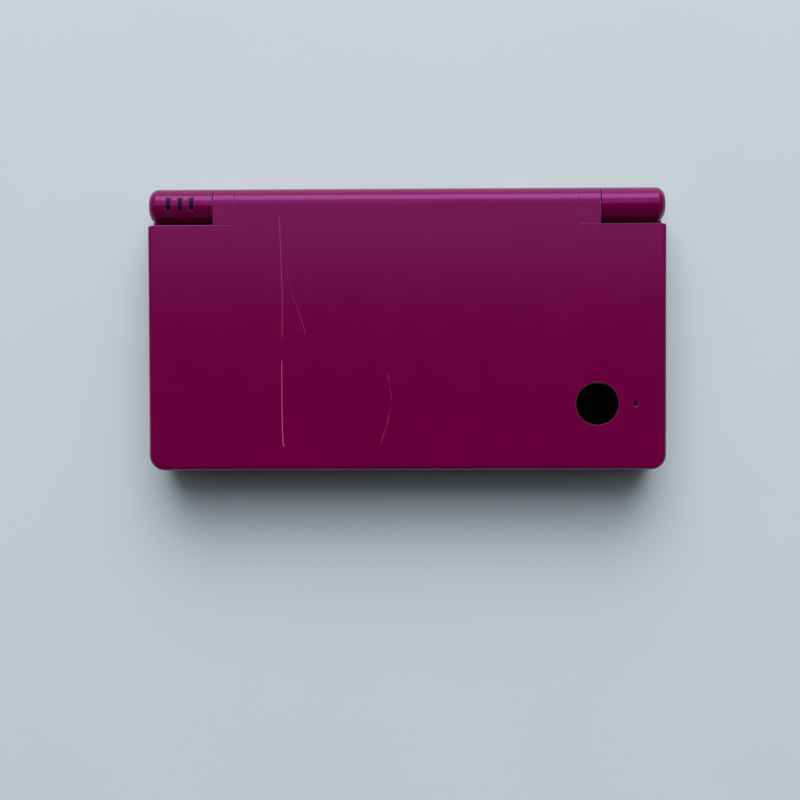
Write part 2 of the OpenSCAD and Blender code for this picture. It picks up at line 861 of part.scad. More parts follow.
// Bottom case: floor, walls, screw posts, battery bay and stylus tube
module bottom_case() {
  trough_x = stylus_cap_x - stylus_l - 1.5;
  color(shell_colour)
    difference() {
      union() {
        difference() {
          low_soft_block(
            half_w, -half_d, half_d, case_bottom, case_seam, front_r, rear_r, base_edge
          );
          soft_block(
            inner_half_w, -inner_half_d, inner_half_d, case_floor, case_seam + over,
            front_r - wall, rear_r - wall, 0
          );
        }
        intersection() {
          span([trough_x, -half_d, case_bottom], [half_w, stylus_trough_y, case_seam - seam_gap]);
          case_inside();
        }
        for (place = case_screw_places)
          post(place, case_floor - wall / 2, case_seam, boss_r + 0.4);
        for (place = hatch_screw_places)
          post(place, case_floor - 0.4, hatch_boss_top, boss_r);
        span([hatch_x0 - rib_t - 0.2, stylus_trough_y - wall / 2, case_floor - wall / 2],
             [hatch_x0 - 0.2, hatch_y1 + 0.6, case_seam - board_t]);
        span([hatch_x1 + 0.2, stylus_trough_y - wall / 2, case_floor - wall / 2],
             [hatch_x1 + 0.2 + rib_t, hatch_y1 + 0.6, case_seam - board_t]);
      }
      rod_x(trough_x + 1, half_w + over, stylus_y, stylus_z, stylus_hole_r);
      for (place = case_screw_places) {
        post(place, case_bottom - over, case_screw_seat, pocket_r);
        post(place, case_bottom, case_seam + over, screw_hole_r);
      }
      hatch_opening();
      span([-card_half_w, card_front + over, case_floor],
           [card_half_w, half_d + over, case_seam + over]);
      span([inner_half_w - over, sd_y, sd_mouth_low],
           [half_w + over, sd_y + sd_slot_w, sd_mouth_high]);
      rod_y(flap_x, sd_y - flap_pin_l - 0.1, sd_y + sd_slot_w + flap_pin_l + 0.1, flap_z,
            flap_pin_r + running_clear);
      span([jack_x - jack_nose_w / 2 - seam_gap, -half_d - over, jack_z - jack_nose_w / 2 - seam_gap],
           [jack_x + jack_nose_w / 2 + seam_gap, -inner_half_d + over, case_seam + over]);
      span([port_x - port_half_w - 0.1, inner_half_d - over, port_low - 0.1],
           [port_x + port_half_w + 0.1, half_d + over, case_seam + over]);
      span([-half_w - over, rocker_y - rocker_l / 2 - control_gap, rocker_low - rocker_gap],
           [-inner_half_w + over, rocker_y + rocker_l / 2 + control_gap, rocker_high + rocker_gap]);
      both_sides()
        shoulder_opening();
    }
}

// Hinge shaft, keyed into the right end barrel, with its retaining head inside the lid's barrel
module hinge_shaft() {
  color(metal_colour) {
    rod_x(knuckle_in - 2, end_barrel_x + socket_l - 0.2, hinge_y, hinge_z, shaft_r);
    rod_x(knuckle_in - 2.4, knuckle_in - 1.7, hinge_y, hinge_z, shaft_r + 0.8);
  }
}

// Hollow bush, fixed in the left end barrel, that the left knuckle turns on
module hinge_bush() {
  x0 = -end_barrel_x - bush_l / 2;
  color(metal_colour)
    difference() {
      rod_x(x0, x0 + bush_l, hinge_y, hinge_z, hinge_core_r);
      rod_x(x0 - over, x0 + bush_l + over, hinge_y, hinge_z, hinge_core_r - bush_wall);
    }
}

// Ribbon cable from the main board, up into the left end barrel and through the bush
module base_ribbon() {
  x0 = -half_w + 2 * wall + 1;
  color(amber_colour) {
    rod_x(x0, -knuckle_in + 0.6, hinge_y, hinge_z, ribbon_r);
    span([x0, hinge_y - ribbon_t / 2, board_top + ribbon_t / 2],
         [x0 + ribbon_w, hinge_y + ribbon_t / 2, hinge_z]);
    span([x0, hinge_y - ribbon_reach, board_top],
         [x0 + ribbon_w, hinge_y + ribbon_t / 2, board_top + ribbon_t]);
  }
}

// Battery pack
module battery() {
  color("dimgray")
    round_plate(hatch_x0 + 1.2, hatch_x0 + 1.2 + battery_w, hatch_y0 + 0.5,
                hatch_y0 + 0.5 + battery_d, battery_bottom, battery_bottom + battery_h, 1);
}

// Battery cover, flush with the underside, with a foam strip inside that the battery lies on
module battery_cover() {
  color(shell_colour)
    difference() {
      union() {
        span([hatch_x0 + cover_gap, hatch_y0 + cover_gap, case_bottom],
             [hatch_x1 - cover_gap, hatch_y1 - cover_gap, case_floor]);
        span([hatch_x0 + cover_gap, hatch_y1 - wall, case_bottom],
             [hatch_x1 - cover_gap, hatch_y1 + hatch_tab - cover_gap, case_bottom + hatch_tab_t]);
        span([hatch_x0 + 6, hatch_y0 + 6, case_floor - wall / 2],
             [hatch_x1 - 6, hatch_y1 - 6, battery_bottom]);
      }
      for (place = hatch_screw_places) {
        post(place, case_bottom - over, case_bottom + hatch_screw_head_h + 0.02,
             hatch_screw_head_r + 0.1);
        post(place, case_bottom - over, case_floor + over, screw_hole_r);
      }
    }
}

// Captive screws of the battery cover
module battery_cover_screws() {
  color(metal_colour)
    for (place = hatch_screw_places)
      screw_up(place, case_bottom + hatch_screw_head_h + 0.02, hatch_boss_top - 0.3,
               hatch_screw_head_r, hatch_screw_head_h);
}

// Contact block between the battery and the main board
module battery_connector() {
  x0 = card_half_w + card_side_t + 2;
  color(screen_colour)
    difference() {
      span([x0, hatch_y0 + 0.5 + battery_d + 0.2, board_bottom - 3.4],
           [x0 + 9, hatch_y1 + 3, board_bottom]);
      for (i = [0:2])
        span([x0 + 1 + 2.8 * i, hatch_y0 + battery_d - over, board_bottom - 2.6],
             [x0 + 2.2 + 2.8 * i, hatch_y0 + battery_d + 1.7, board_bottom - 0.8]);
    }
}

// Main circuit board, cut away round the battery, the stylus, the screws and the shoulder buttons
module main_board() {
  edge = inner_half_w - 1.3;
  color(board_colour)
    difference() {
      union() {
        span([-edge, hatch_y1 + 1, board_bottom], [edge, hinge_y - 3.4, board_top]);
        span([-edge, -inner_half_d + 1.2, board_bottom],
             [hatch_x0 - 1.8, hatch_y1 + 2, board_top]);
        span([hatch_x1 + 1.4, stylus_trough_y + board_gap, board_bottom],
             [edge, hatch_y1 + 2, board_top]);
        span([-shoulder_x + 2.3, hinge_y - 4, board_bottom],
             [shoulder_x - 2.3, half_d - 2, board_top]);
      }
      for (place = case_screw_places)
        post(place, board_bottom - over, board_top + over, boss_r + 0.4 + board_gap);
      for (place = [case_screw_places[0], case_screw_places[1]]) {
        side = sign(place[0]);
        span([min(place[0], side * half_w), -half_d, board_bottom - over],
             [max(place[0], side * half_w), place[1], board_top + over]);
      }
    }
}

// Metal can over the processor, on the underside of the board
module processor_shield() {
  color(metal_colour)
    span([-half_w + 21.5, -half_d + 23.5, board_bottom - 1.6],
         [-half_w + 41.5, -half_d + 43.5, board_bottom]);
}

// Wireless module, on the underside of the board
module wireless_module() {
  color(board_colour) {
    span([-half_w + 24, -half_d + 45, board_bottom - 1.8],
         [-half_w + 42, -half_d + 59, board_bottom - 1]);
    span([-half_w + 27, -half_d + 48, board_bottom - 1],
         [-half_w + 39, -half_d + 56, board_bottom]);
  }
}

// Small parts soldered under the board
module board_components() {
  color(screen_colour)
    for (i = [0:4])
      span([-half_w + 8, -half_d + 14 + 6 * i, board_bottom - 1.1],
           [-half_w + 12, -half_d + 17 + 6 * i, board_bottom]);
}

// Lower display
module lower_display() {
  color(metal_colour)
    span([-panel_half_w + 0.4, lower_y - panel_half_d + 0.4, lower_display_bottom],
         [panel_half_w - 0.4, lower_y + panel_half_d - 0.4, touch_bottom]);
}

// Touch panel, glued under the deck's lip
module touch_panel() {
  color(screen_colour)
    span([-panel_half_w, lower_y - panel_half_d, touch_bottom],
         [panel_half_w, lower_y + panel_half_d, touch_top]);
}

// Direction pad: a cross with a dished middle on a round flange
module dpad() {
  dish_r = 12;
  dish_depth = 0.35;
  translate([-pad_x, pad_y, 0])
    color(shell_colour)
      difference() {
        union() {
          for (turn = [0, 90])
            rotate(turn)
              span([-dpad_w / 2, -dpad_arm / 2, dpad_flange_top - dpad_flange_t],
                   [dpad_w / 2, dpad_arm / 2, control_top]);
          post([0, 0], dpad_flange_top - dpad_flange_t, dpad_flange_top, dpad_flange_r);
        }
        translate([0, 0, control_top + dish_r - dish_depth])
          sphere(dish_r);
      }
}

// Rubber pad under the direction pad
module dpad_rubber() {
  color(rubber_colour)
    difference() {
      post([-pad_x, pad_y], dpad_rubber_top - dpad_rubber_t, dpad_rubber_top, dpad_rubber_r);
      for (turn = [45:90:315])
        post([-pad_x, pad_y] + (dpad_rubber_r - 2) * [cos(turn), sin(turn)],
             dpad_rubber_top - dpad_rubber_t - over, dpad_rubber_top + over, 0.9);
    }
}

// Round push button with a flange that keeps it under the deck
module push_button(place, r) {
  color(shell_colour) {
    post(place, button_bottom, control_top, r);
    post(place, button_bottom, flange_top, r + flange_w);
  }
}

// Place of an action button, by quarter turns from the right
function action_place(turn) = [pad_x, pad_y] + action_spread * [cos(90 * turn), sin(90 * turn)];

module button_a() {
  push_button(action_place(0), action_r);
}

module button_x() {
  push_button(action_place(1), action_r);
}

module button_y() {
  push_button(action_place(2), action_r);
}

module button_b() {
  push_button(action_place(3), action_r);
}

module start_button() {
  push_button([pad_x, start_y], small_r);
}

module select_button() {
  push_button([pad_x, select_y], small_r);
}

module power_button() {
  push_button([-pad_x, power_y], small_r);
}

// Rubber dome on the board, below a push button
module dome(place, r) {
  translate([place[0], place[1], board_top])
    cylinder(h = dome_top - board_top, r1 = r, r2 = r - 0.8);
}

// Rubber sheet with the four action buttons' domes
module action_button_rubber() {
  color(rubber_colour) {
    for (turn = [0, 90])
      translate([pad_x, pad_y, board_top])
        rotate(turn)
          translate([-action_spread - 2, -3, 0])
            cube([2 * action_spread + 4, 6, rubber_sheet]);
    for (i = [0:3])
      dome(action_place(i), action_r);
  }
}

// Rubber sheet with the start and select buttons' domes
module start_select_rubber() {
  color(rubber_colour) {
    span([pad_x - 2, select_y, board_top], [pad_x + 2, start_y, board_top + rubber_sheet]);
    dome([pad_x, start_y], small_r + 0.4);
    dome([pad_x, select_y], small_r + 0.4);
  }
}

// Rubber dome under the power button
module power_button_rubber() {
  color(rubber_colour)
    dome([-pad_x, power_y], small_r + 0.4);
}

// Shoulder button, on the right: the rear corner of the base, hollow inside, with a pivot lug
module shoulder_button() {
  pin = [shoulder_pin_x, shoulder_pin_y];
  color(shell_colour)
    difference() {
      union() {
        difference() {
          intersection() {
            soft_block(half_w, -half_d, half_d, shoulder_low, shoulder_high, front_r, rear_r, 0);
            span([shoulder_x, shoulder_y, shoulder_low - over],
                 [half_w + over, half_d + over, shoulder_high + over]);
          }
          span([shoulder_x - over, shoulder_y - over, shoulder_low - over],
               [half_w - shoulder_wall, half_d - shoulder_wall, shoulder_high + over]);
        }
        post(pin, lug_low, lug_low + lug_h, lug_r);
        span([shoulder_pin_x - 1.5, shoulder_pin_y, lug_low],
             [shoulder_pin_x + 1.5, half_d - shoulder_wall / 2, lug_low + lug_h]);
        span([pusher_x - pusher_w / 2, half_d - shoulder_wall - pusher_l, lug_low],
             [pusher_x + pusher_w / 2, half_d - shoulder_wall / 2, lug_low + lug_h]);
      }
      post(pin, lug_low - over, lug_low + lug_h + over, shoulder_pin_r + running_clear);
    }
}

module left_shoulder_button() {
  mirror([1, 0, 0])
    shoulder_button();
}

module right_shoulder_button() {
  shoulder_button();
}

// Return spring of a shoulder button: a short coil round the pin, with a leg along the button
module shoulder_spring() {
  low = lug_low + lug_h;
  color(metal_colour)
    difference() {
      union() {
        post([shoulder_pin_x, shoulder_pin_y], low, low + spring_h, spring_r);
        span([shoulder_pin_x, half_d - shoulder_wall - 0.5, low],
             [shoulder_pin_x + 8, half_d - shoulder_wall, low + 0.5]);
        span([shoulder_pin_x, shoulder_pin_y, low],
             [shoulder_pin_x + 0.6, half_d - shoulder_wall, low + 0.5]);
      }
      post([shoulder_pin_x, shoulder_pin_y], low - over, low + spring_h + over,
           shoulder_pin_r + 0.2);
    }
}

module left_shoulder_spring() {
  mirror([1, 0, 0])
    shoulder_spring();
}

module right_shoulder_spring() {
  shoulder_spring();
}

// Pins that the shoulder buttons swing on
module shoulder_pins() {
  color(metal_colour)
    both_sides()
      post([shoulder_pin_x, shoulder_pin_y], case_floor, shoulder_high, shoulder_pin_r);
}

// Push switches behind the shoulder buttons, under the board's rear edge
module shoulder_switches() {
  face = half_d - shoulder_wall - pusher_l - shoulder_push_gap;
  color(metal_colour)
    both_sides() {
      span([pusher_x - 2, hinge_y - 6, lug_low - 0.4], [pusher_x + 2, face - 0.8, board_bottom]);
      span([pusher_x - 0.8, face - 0.9, lug_low], [pusher_x + 0.8, face, lug_low + lug_h]);
    }
}

// Volume rocker in the left wall
module volume_rocker() {
  flange = rocker_l / 2 + rocker_flange;
  color(shell_colour) {
    span([-half_w, rocker_y - rocker_l / 2, rocker_low],
         [-half_w + rocker_t, rocker_y + rocker_l / 2, rocker_high]);
    span([rocker_flange_x, rocker_y - flange, rocker_low],
         [rocker_flange_x + rocker_flange_t, rocker_y + flange, rocker_high]);
  }
}

// Switch behind the volume rocker
module volume_switch() {
  face = -half_w + max(rocker_t, wall + 0.5 + rocker_flange_t) + 0.55;
  color(screen_colour)
    span([face, rocker_y - 4, case_seam - 3.2], [face + 3.5, rocker_y + 4, board_bottom]);
}

// Flap over the memory card slot, turning on two short pins along its lower edge
module sd_slot_cover() {
  y0 = sd_y + flap_gap;
  y1 = sd_y + sd_slot_w - flap_gap;
  color(shell_colour) {
    rod_y(flap_x, y0, y1, flap_z, flap_t / 2);
    span([half_w - flap_t, y0, flap_z], [half_w, y1, sd_mouth_high - flap_gap]);
    rod_y(flap_x, sd_y - flap_pin_l, sd_y + sd_slot_w + flap_pin_l, flap_z, flap_pin_r);
  }
}

// Memory card reader: a thin metal shell, open to the right
module sd_card_reader() {
  x1 = inner_half_w - 0.3;
  color(metal_colour) {
    difference() {
      span([sd_x + 6.5, sd_y - 0.4, sd_low], [x1, sd_y + sd_slot_w + 0.4, board_bottom]);
      span([sd_x + 8.5, sd_y + 0.2, sd_low + 0.3],
           [x1 + over, sd_y + sd_slot_w - 0.2, sd_high]);
    }
  }
}

// Game card connector: two guide rails and a contact block
module game_card_connector() {
  low = case_floor + card_floor;
  color(screen_colour)
    difference() {
      union() {
        both_sides()
          span([card_half_w, card_front - 1, low],
               [card_half_w + card_side_t, inner_half_d - 0.1, card_roof]);
        span([-card_half_w - card_side_t, card_front - card_back_t, low],
             [card_half_w + card_side_t, card_front, card_roof]);
      }
      for (i = [-8:8])
        span([1.8 * i - 0.4, card_front - 1.5, low + 0.8],
             [1.8 * i + 0.4, card_front + over, low + 3]);
    }
}

// Headphone jack, its nose dropped into a notch in the front wall
module headphone_jack() {
  color(screen_colour)
    difference() {
      union() {
        span([jack_x - jack_half_w, -inner_half_d + 0.1, case_floor],
             [jack_x + jack_half_w, -inner_half_d + jack_l, board_bottom]);
        span([jack_x - jack_nose_w / 2, -half_d + seam_gap, jack_z - jack_nose_w / 2],
             [jack_x + jack_nose_w / 2, -inner_half_d + 0.6, board_bottom]);
      }
      rod_y(jack_x, -half_d - over, -inner_half_d + jack_l - 0.8, jack_z, jack_bore_r);
    }
}

// Charging port in the rear wall: a flat socket with a contact tongue
module charging_port() {
  color(metal_colour) {
    difference() {
      span([port_x - port_half_w, half_d - 8.5, port_low],
           [port_x + port_half_w, half_d - 0.1, board_bottom]);
      span([port_x - port_mouth_half_w, half_d - 7, port_mouth_low],
           [port_x + port_mouth_half_w, half_d + over, port_mouth_low + port_mouth_h]);
    }
    span([port_x - port_mouth_half_w + 1, half_d - 7.5, port_mouth_low + 0.8],
         [port_x + port_mouth_half_w - 1, half_d - 1.2, port_mouth_low + 1.4]);
  }
}

// Stylus, with a fingernail notch at its cap and a tapered writing tip
module stylus() {
  tip_l = 8;
  color(rubber_colour)
    difference() {
      union() {
        rod_x(stylus_cap_x - stylus_l + tip_l, stylus_cap_x, stylus_y, stylus_z, stylus_r);
        translate([stylus_cap_x - stylus_l, stylus_y, stylus_z])
          rotate([0, 90, 0])
            cylinder(h = tip_l + 0.01, r1 = 0.6, r2 = stylus_r);
      }
      span([stylus_cap_x - 3, stylus_y - 3, stylus_z - 3],
           [stylus_cap_x - 1.6, stylus_y + 3, stylus_z - stylus_r + 0.5]);
    }
}

// Status lights: three clear bars that follow the curve of the left end barrel
module status_light_pipes() {
  color("midnightblue")
    for (i = [0:2])
      light_bar(light_x + i * light_pitch, light_w, barrel_r - light_depth, barrel_r - 0.03, 0);
}

// Rubber feet
module rubber_feet() {
  color(rubber_colour)
    both_sides()
      for (y = [-half_d + 15.5, hinge_y - 12.5])
        post([half_w - 14, y], 0, foot_h, foot_r);
}

// Screws that hold the bottom case to the deck
module case_screws() {
  color(metal_colour)
    for (place = case_screw_places)
      screw_up(place, case_screw_seat, case_screw_top, screw_head_r, screw_head_h);
}

lid_cover();
lid_inner_frame();
upper_screen_window();
upper_display();
left_speaker();
right_speaker();
outer_camera_window();
outer_camera_module();
camera_light_pipe();
inner_camera();
microphone();
lid_bumpers();
lid_screws();
hinge_cartridge();
lid_ribbon();
sleep_magnet();
base_deck();
bottom_case();
hinge_shaft();
hinge_bush();
base_ribbon();
battery();
battery_cover();
battery_cover_screws();
battery_connector();
main_board();
processor_shield();
wireless_module();
board_components();
lower_display();
touch_panel();
dpad();
dpad_rubber();
button_a();
button_b();
button_x();
button_y();
action_button_rubber();
start_button();
select_button();
start_select_rubber();
power_button();
power_button_rubber();
left_shoulder_button();
right_shoulder_button();
left_shoulder_spring();
right_shoulder_spring();
shoulder_pins();
shoulder_switches();
volume_rocker();
volume_switch();
sd_slot_cover();
sd_card_reader();
game_card_connector();
headphone_jack();
charging_port();
stylus();
status_light_pipes();
rubber_feet();
case_screws();
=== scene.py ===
"""Clamshell handheld game console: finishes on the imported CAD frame, with its stage."""

import json
import math

import bmesh
import bpy
from bpy.props import FloatProperty, FloatVectorProperty, PointerProperty
from mathutils import Euler, Matrix, Vector

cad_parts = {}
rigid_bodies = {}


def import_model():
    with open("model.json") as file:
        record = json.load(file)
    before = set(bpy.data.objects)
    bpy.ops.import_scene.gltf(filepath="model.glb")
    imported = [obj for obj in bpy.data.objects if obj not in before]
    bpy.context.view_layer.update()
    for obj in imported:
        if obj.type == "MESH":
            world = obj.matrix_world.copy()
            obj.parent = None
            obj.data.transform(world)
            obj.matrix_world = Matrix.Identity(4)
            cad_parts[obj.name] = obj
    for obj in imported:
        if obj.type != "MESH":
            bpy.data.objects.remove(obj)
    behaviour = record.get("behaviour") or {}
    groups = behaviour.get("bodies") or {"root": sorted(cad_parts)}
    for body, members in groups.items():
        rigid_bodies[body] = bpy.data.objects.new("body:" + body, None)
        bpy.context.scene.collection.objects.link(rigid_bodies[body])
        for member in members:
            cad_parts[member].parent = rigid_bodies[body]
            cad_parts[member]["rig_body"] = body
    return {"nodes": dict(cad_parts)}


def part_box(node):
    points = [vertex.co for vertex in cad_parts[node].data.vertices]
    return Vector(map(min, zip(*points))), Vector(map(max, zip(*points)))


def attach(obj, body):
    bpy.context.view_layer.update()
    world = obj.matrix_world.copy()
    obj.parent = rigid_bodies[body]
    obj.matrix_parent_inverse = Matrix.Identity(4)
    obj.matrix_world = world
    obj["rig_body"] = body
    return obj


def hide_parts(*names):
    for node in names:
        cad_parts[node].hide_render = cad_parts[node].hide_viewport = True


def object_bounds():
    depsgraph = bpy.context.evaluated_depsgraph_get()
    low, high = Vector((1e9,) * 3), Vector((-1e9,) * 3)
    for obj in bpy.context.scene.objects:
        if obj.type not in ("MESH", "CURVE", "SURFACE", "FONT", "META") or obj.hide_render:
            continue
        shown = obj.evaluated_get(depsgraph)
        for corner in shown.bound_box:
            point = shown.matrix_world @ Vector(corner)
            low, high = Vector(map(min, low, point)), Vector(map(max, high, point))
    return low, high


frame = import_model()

bl_info = {
    "name": "Clamshell Handheld Console",
    "version": (1, 0, 0),
    "blender": (4, 5, 0),
    "location": "3D View > Sidebar > Handheld",
    "description": "Builds the casing, screens, controls and hinge of a folding handheld console",
    "category": "Object",
}

MM = 0.001
CAD_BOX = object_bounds()
BODY_OF = {name: node["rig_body"] for name, node in frame["nodes"].items()}
MATERIALS = {}

# Points of a CAD node that are nearer than this are made one
JOIN = 0.002 * MM
# An outward edge that turns more than this is rounded, and one that turns more than the next is a crease
ROUNDED_TURN = math.radians(40)
CREASE_TURN = math.radians(35)
# Share of the rounding that is left on an edge where two mouldings meet
SEAM_SHARE = 0.3

# In millimetres: the lid's rear edge beside the end barrels, how far in from its sides its corners are
# rounded and their radius, and the knuckles' outer ends and width
REAR_EDGE = 27.45
CORNER_REACH = 1.29
CORNER_RADIUS = 0.5
KNUCKLE_OUTER = 51.15
KNUCKLE_WIDTH = 6.25

# The camera's place beside the middle of the console, in millimetres, and its turn, in degrees
CAMERA_PLACE = (2.74, -11.72)
CAMERA_TURN = (-1.274, 0.814, -0.188)

# Each scratch on the lid: its points in millimetres, its strength, and how broken up it is
SCRATCHES = (
    (((-33.55, 30.3), (-33.2, 20.0), (-32.85, 10.5), (-32.8, 4.3), (-33.0, -2.6)), 0.38, 0.25),
    (((-31.85, 18.0), (-31.25, 12.8), (-29.9, 8.1), (-28.0, 3.3), (-26.75, -1.5)), 0.2, 0.65),
    (((-33.1, -8.0), (-33.08, -20.0), (-33.0, -27.0), (-32.85, -30.2), (-32.4, -31.4)), 0.95, 0.1),
    (
        ((-7.0, -30.3), (-6.6, -29.1), (-5.2, -25.0), (-4.55, -22.0), (-4.1, -18.2), (-4.6, -14.8),
         (-5.05, -11.6)),
        0.34, 0.85,
    ),
)


def linear(code):
    """sRGB hex colour as linear red, green and blue."""
    channels = (int(code[i : i + 2], 16) / 255 for i in (1, 3, 5))
    return tuple(c / 12.92 if c <= 0.04045 else ((c + 0.055) / 1.055) ** 2.4 for c in channels)


# Settings


def colour_setting(name, description, code):
    """A colour that the panel shows, from its sRGB hex colour."""
    return FloatVectorProperty(
        name=name, description=description, subtype="COLOR", size=3, default=linear(code)
    )


def length_setting(name, description, length):
    """A length that the panel shows in the scene's unit, from its length in millimetres."""
    return FloatProperty(name=name, description=description, unit="LENGTH", default=length * MM)


class CasingSettings(bpy.types.PropertyGroup):
    """Colours and edges of the moulded casing."""

    colour: colour_setting("Casing colour", "Colour of the moulded casing", "#6F003F")
    scratch_colour: colour_setting(
        "Scratch colour", "Colour of the plastic where it is scratched", "#E163A0"
    )
    scratch_width: length_setting("Scratch width", "Width of the scratches on the lid", 0.34)
    edge: length_setting("Edge rounding", "Radius on the casing's edges", 0.18)
    small_edge: length_setting("Small edge rounding", "Radius on the edges of small parts", 0.08)


class ControlSettings(bpy.types.PropertyGroup):
    """Sizes of the buttons and the direction pad."""

    crown: length_setting("Button crown", "How far a button's top rises from its rim to its middle", 0.22)
    action_radius: length_setting("Action button radius", "Radius of an action button's cap", 3.4)
    small_radius: length_setting(
        "Small button radius", "Radius of the start, select and power buttons", 2.1
    )
    pad_width: length_setting("Pad width", "Width of the direction pad across two arms", 20)
    arm: length_setting("Pad arm width", "Width of each arm of the direction pad", 7)
    dish: length_setting("Pad dish depth", "Depth of the dish in the middle of the direction pad", 0.35)


class ScreenSettings(bpy.types.PropertyGroup):
    """Colours and visible size of the two screens."""

    border: colour_setting("Window border", "Colour printed behind the clear window", "#09090B")
    display: colour_setting("Display colour", "Colour of a display that is switched off", "#2A2D2F")
    width: length_setting("Display width", "Width of the visible area", 66)
    depth: length_setting("Display depth", "Depth of the visible area", 49.5)


class HardwareSettings(bpy.types.PropertyGroup):
    """Colours of the metal and rubber parts."""

    steel: colour_setting("Steel", "Colour of ground steel", "#BFC1C4")
    screw: colour_setting("Screws", "Colour of dark zinc plating", "#77767A")
    rubber: colour_setting("Rubber", "Colour of the feet and bumpers", "#3A393D")


class StageSettings(bpy.types.PropertyGroup):
    """Floor, camera and lights."""

    floor: colour_setting("Floor", "Colour of the floor and the background", "#CBD5D9")
    reach: length_setting("Floor reach", "How far the floor reaches to each side", 15000)
    height: length_setting("Camera height", "Height of the camera above the floor", 340)
    lens: FloatProperty(
        name="Focal length", description="Focal length of the camera, in millimetres", default=54.72
    )
    key: FloatProperty(
        name="Rear light", description="Power of the soft light behind the hinge", default=3.5
    )
    sky: FloatProperty(
        name="Sky light", description="Strength of the high, far light that fills the floor", default=2.0
    )
    wall: FloatProperty(
        name="Rear wall", description="Strength of the pale wall behind the hinge", default=0.75
    )
    front: FloatProperty(
        name="Front of the studio", description="Strength of the dim studio in front, low down", default=0.2
    )


# Materials


def add(tree, kind, inputs=None, **settings):
    """Adds a node with its settings, and sets or links its inputs."""
    node = tree.nodes.new(kind)
    for name, value in settings.items():
        setattr(node, name, value)
    for key, value in (inputs or {}).items():
        if isinstance(value, bpy.types.NodeSocket):
            tree.links.new(value, node.inputs[key])
        else:
            node.inputs[key].default_value = value
    return node


def rgba(colour, factor=1.0):
    """A linear colour times a factor, with its alpha."""
    return (*(min(c * factor, 1.0) for c in colour), 1.0)


def new_material(name, sockets):
    """A material with one Principled shader, and the place on the object that its patterns read."""
    material = bpy.data.materials.new(name)
    material.use_nodes = True
    tree = material.node_tree
    tree.nodes.clear()
    shader = add(tree, "ShaderNodeBsdfPrincipled", sockets)
    add(tree, "ShaderNodeOutputMaterial", {"Surface": shader.outputs[0]})
    place = add(tree, "ShaderNodeTexCoord").outputs["Object"]
    return material, tree, shader, place


def moulded(name, colour, roughness, grain, relief, tone=0.04, wear=0.0, **sockets):
    """A moulded plastic or rubber: faint flow marks, a fine grain, and handling marks in its gloss."""
    material, tree, shader, place = new_material(name, sockets)
    flow = add(
        tree, "ShaderNodeTexNoise", {"Vector": place, "Scale": 1 / (22 * MM), "Detail": 2.0}
    ).outputs[0]
    base = add(
        tree, "ShaderNodeMix", {0: flow, 6: rgba(colour, 1 - tone), 7: rgba(colour, 1 + tone)},
        data_type="RGBA",
    ).outputs[2]
    if wear:
        rounded = add(tree, "ShaderNodeBevel", {"Radius": 0.35 * MM}, samples=4).outputs[0]
        true = add(tree, "ShaderNodeNewGeometry").outputs["Normal"]
        turn = add(
            tree, "ShaderNodeVectorMath", {0: rounded, 1: true}, operation="DOT_PRODUCT"
        ).outputs["Value"]
        rub = add(
            tree, "ShaderNodeTexNoise", {"Vector": place, "Scale": 1 / (3 * MM), "Detail": 3.0}
        ).outputs[0]
        edge = add(
            tree, "ShaderNodeMapRange", {"Value": turn, "From Min": 0.995, "From Max": 0.8, "To Max": wear}
        ).outputs[0]
        patchy = add(tree, "ShaderNodeMath", {0: edge, 1: rub}, operation="MULTIPLY").outputs[0]
        pale = tuple(c + 0.35 * (1 - c) for c in colour)
        base = add(tree, "ShaderNodeMix", {0: patchy, 6: base, 7: rgba(pale)}, data_type="RGBA").outputs[2]
    tree.links.new(base, shader.inputs["Base Color"])
    touch = add(
        tree, "ShaderNodeTexNoise", {"Vector": place, "Scale": 1 / (9 * MM), "Detail": 4.0, "Roughness": 0.6}
    ).outputs[0]
    gloss = add(
        tree, "ShaderNodeMapRange",
        {"Value": touch, "From Min": 0.3, "From Max": 0.7,
         "To Min": roughness - 0.015, "To Max": roughness + 0.025},
        interpolation_type="SMOOTHSTEP",
    ).outputs[0]
    tree.links.new(gloss, shader.inputs["Roughness"])
    spark = add(tree, "ShaderNodeTexNoise", {"Vector": place, "Scale": 1 / grain, "Detail": 1.0}).outputs[0]
    bump = add(tree, "ShaderNodeBump", {"Height": spark, "Distance": relief}).outputs[0]
    tree.links.new(bump, shader.inputs["Normal"])
    return material, tree, shader, place, base, gloss, spark


def pearl_abs(name, roughness, relief, wear):
    """ABS with a fine pearl pigment: a deep magenta whose sheen is violet instead of white."""
    # The real grain is about 0.05 mm, too fine to show, so it is drawn at 0.3 mm
    return moulded(
        name, bpy.context.scene.handheld_casing.colour, roughness, 0.3 * MM, relief, wear=wear, IOR=1.54,
        **{"Specular IOR Level": 0.8, "Specular Tint": (0.9, 0.25, 1.0, 1.0)},
    )


def casing_abs():
    """Pearl ABS moulded against a finely spark-eroded tool: satin, rubbed a little paler on its edges."""
    return pearl_abs("ABS_pearl_satin", 0.15, 0.0008 * MM, 0.3)[0]


def draw_curve(node, points):
    """Gives a Float Curve node straight lines through the points."""
    curve = node.mapping.curves[0]
    while len(curve.points) < len(points):
        curve.points.new(0.5, 0.5)
    for point, place in zip(curve.points, points):
        point.location = place
        point.handle_type = "VECTOR"
    node.mapping.extend = "HORIZONTAL"
    node.mapping.update()


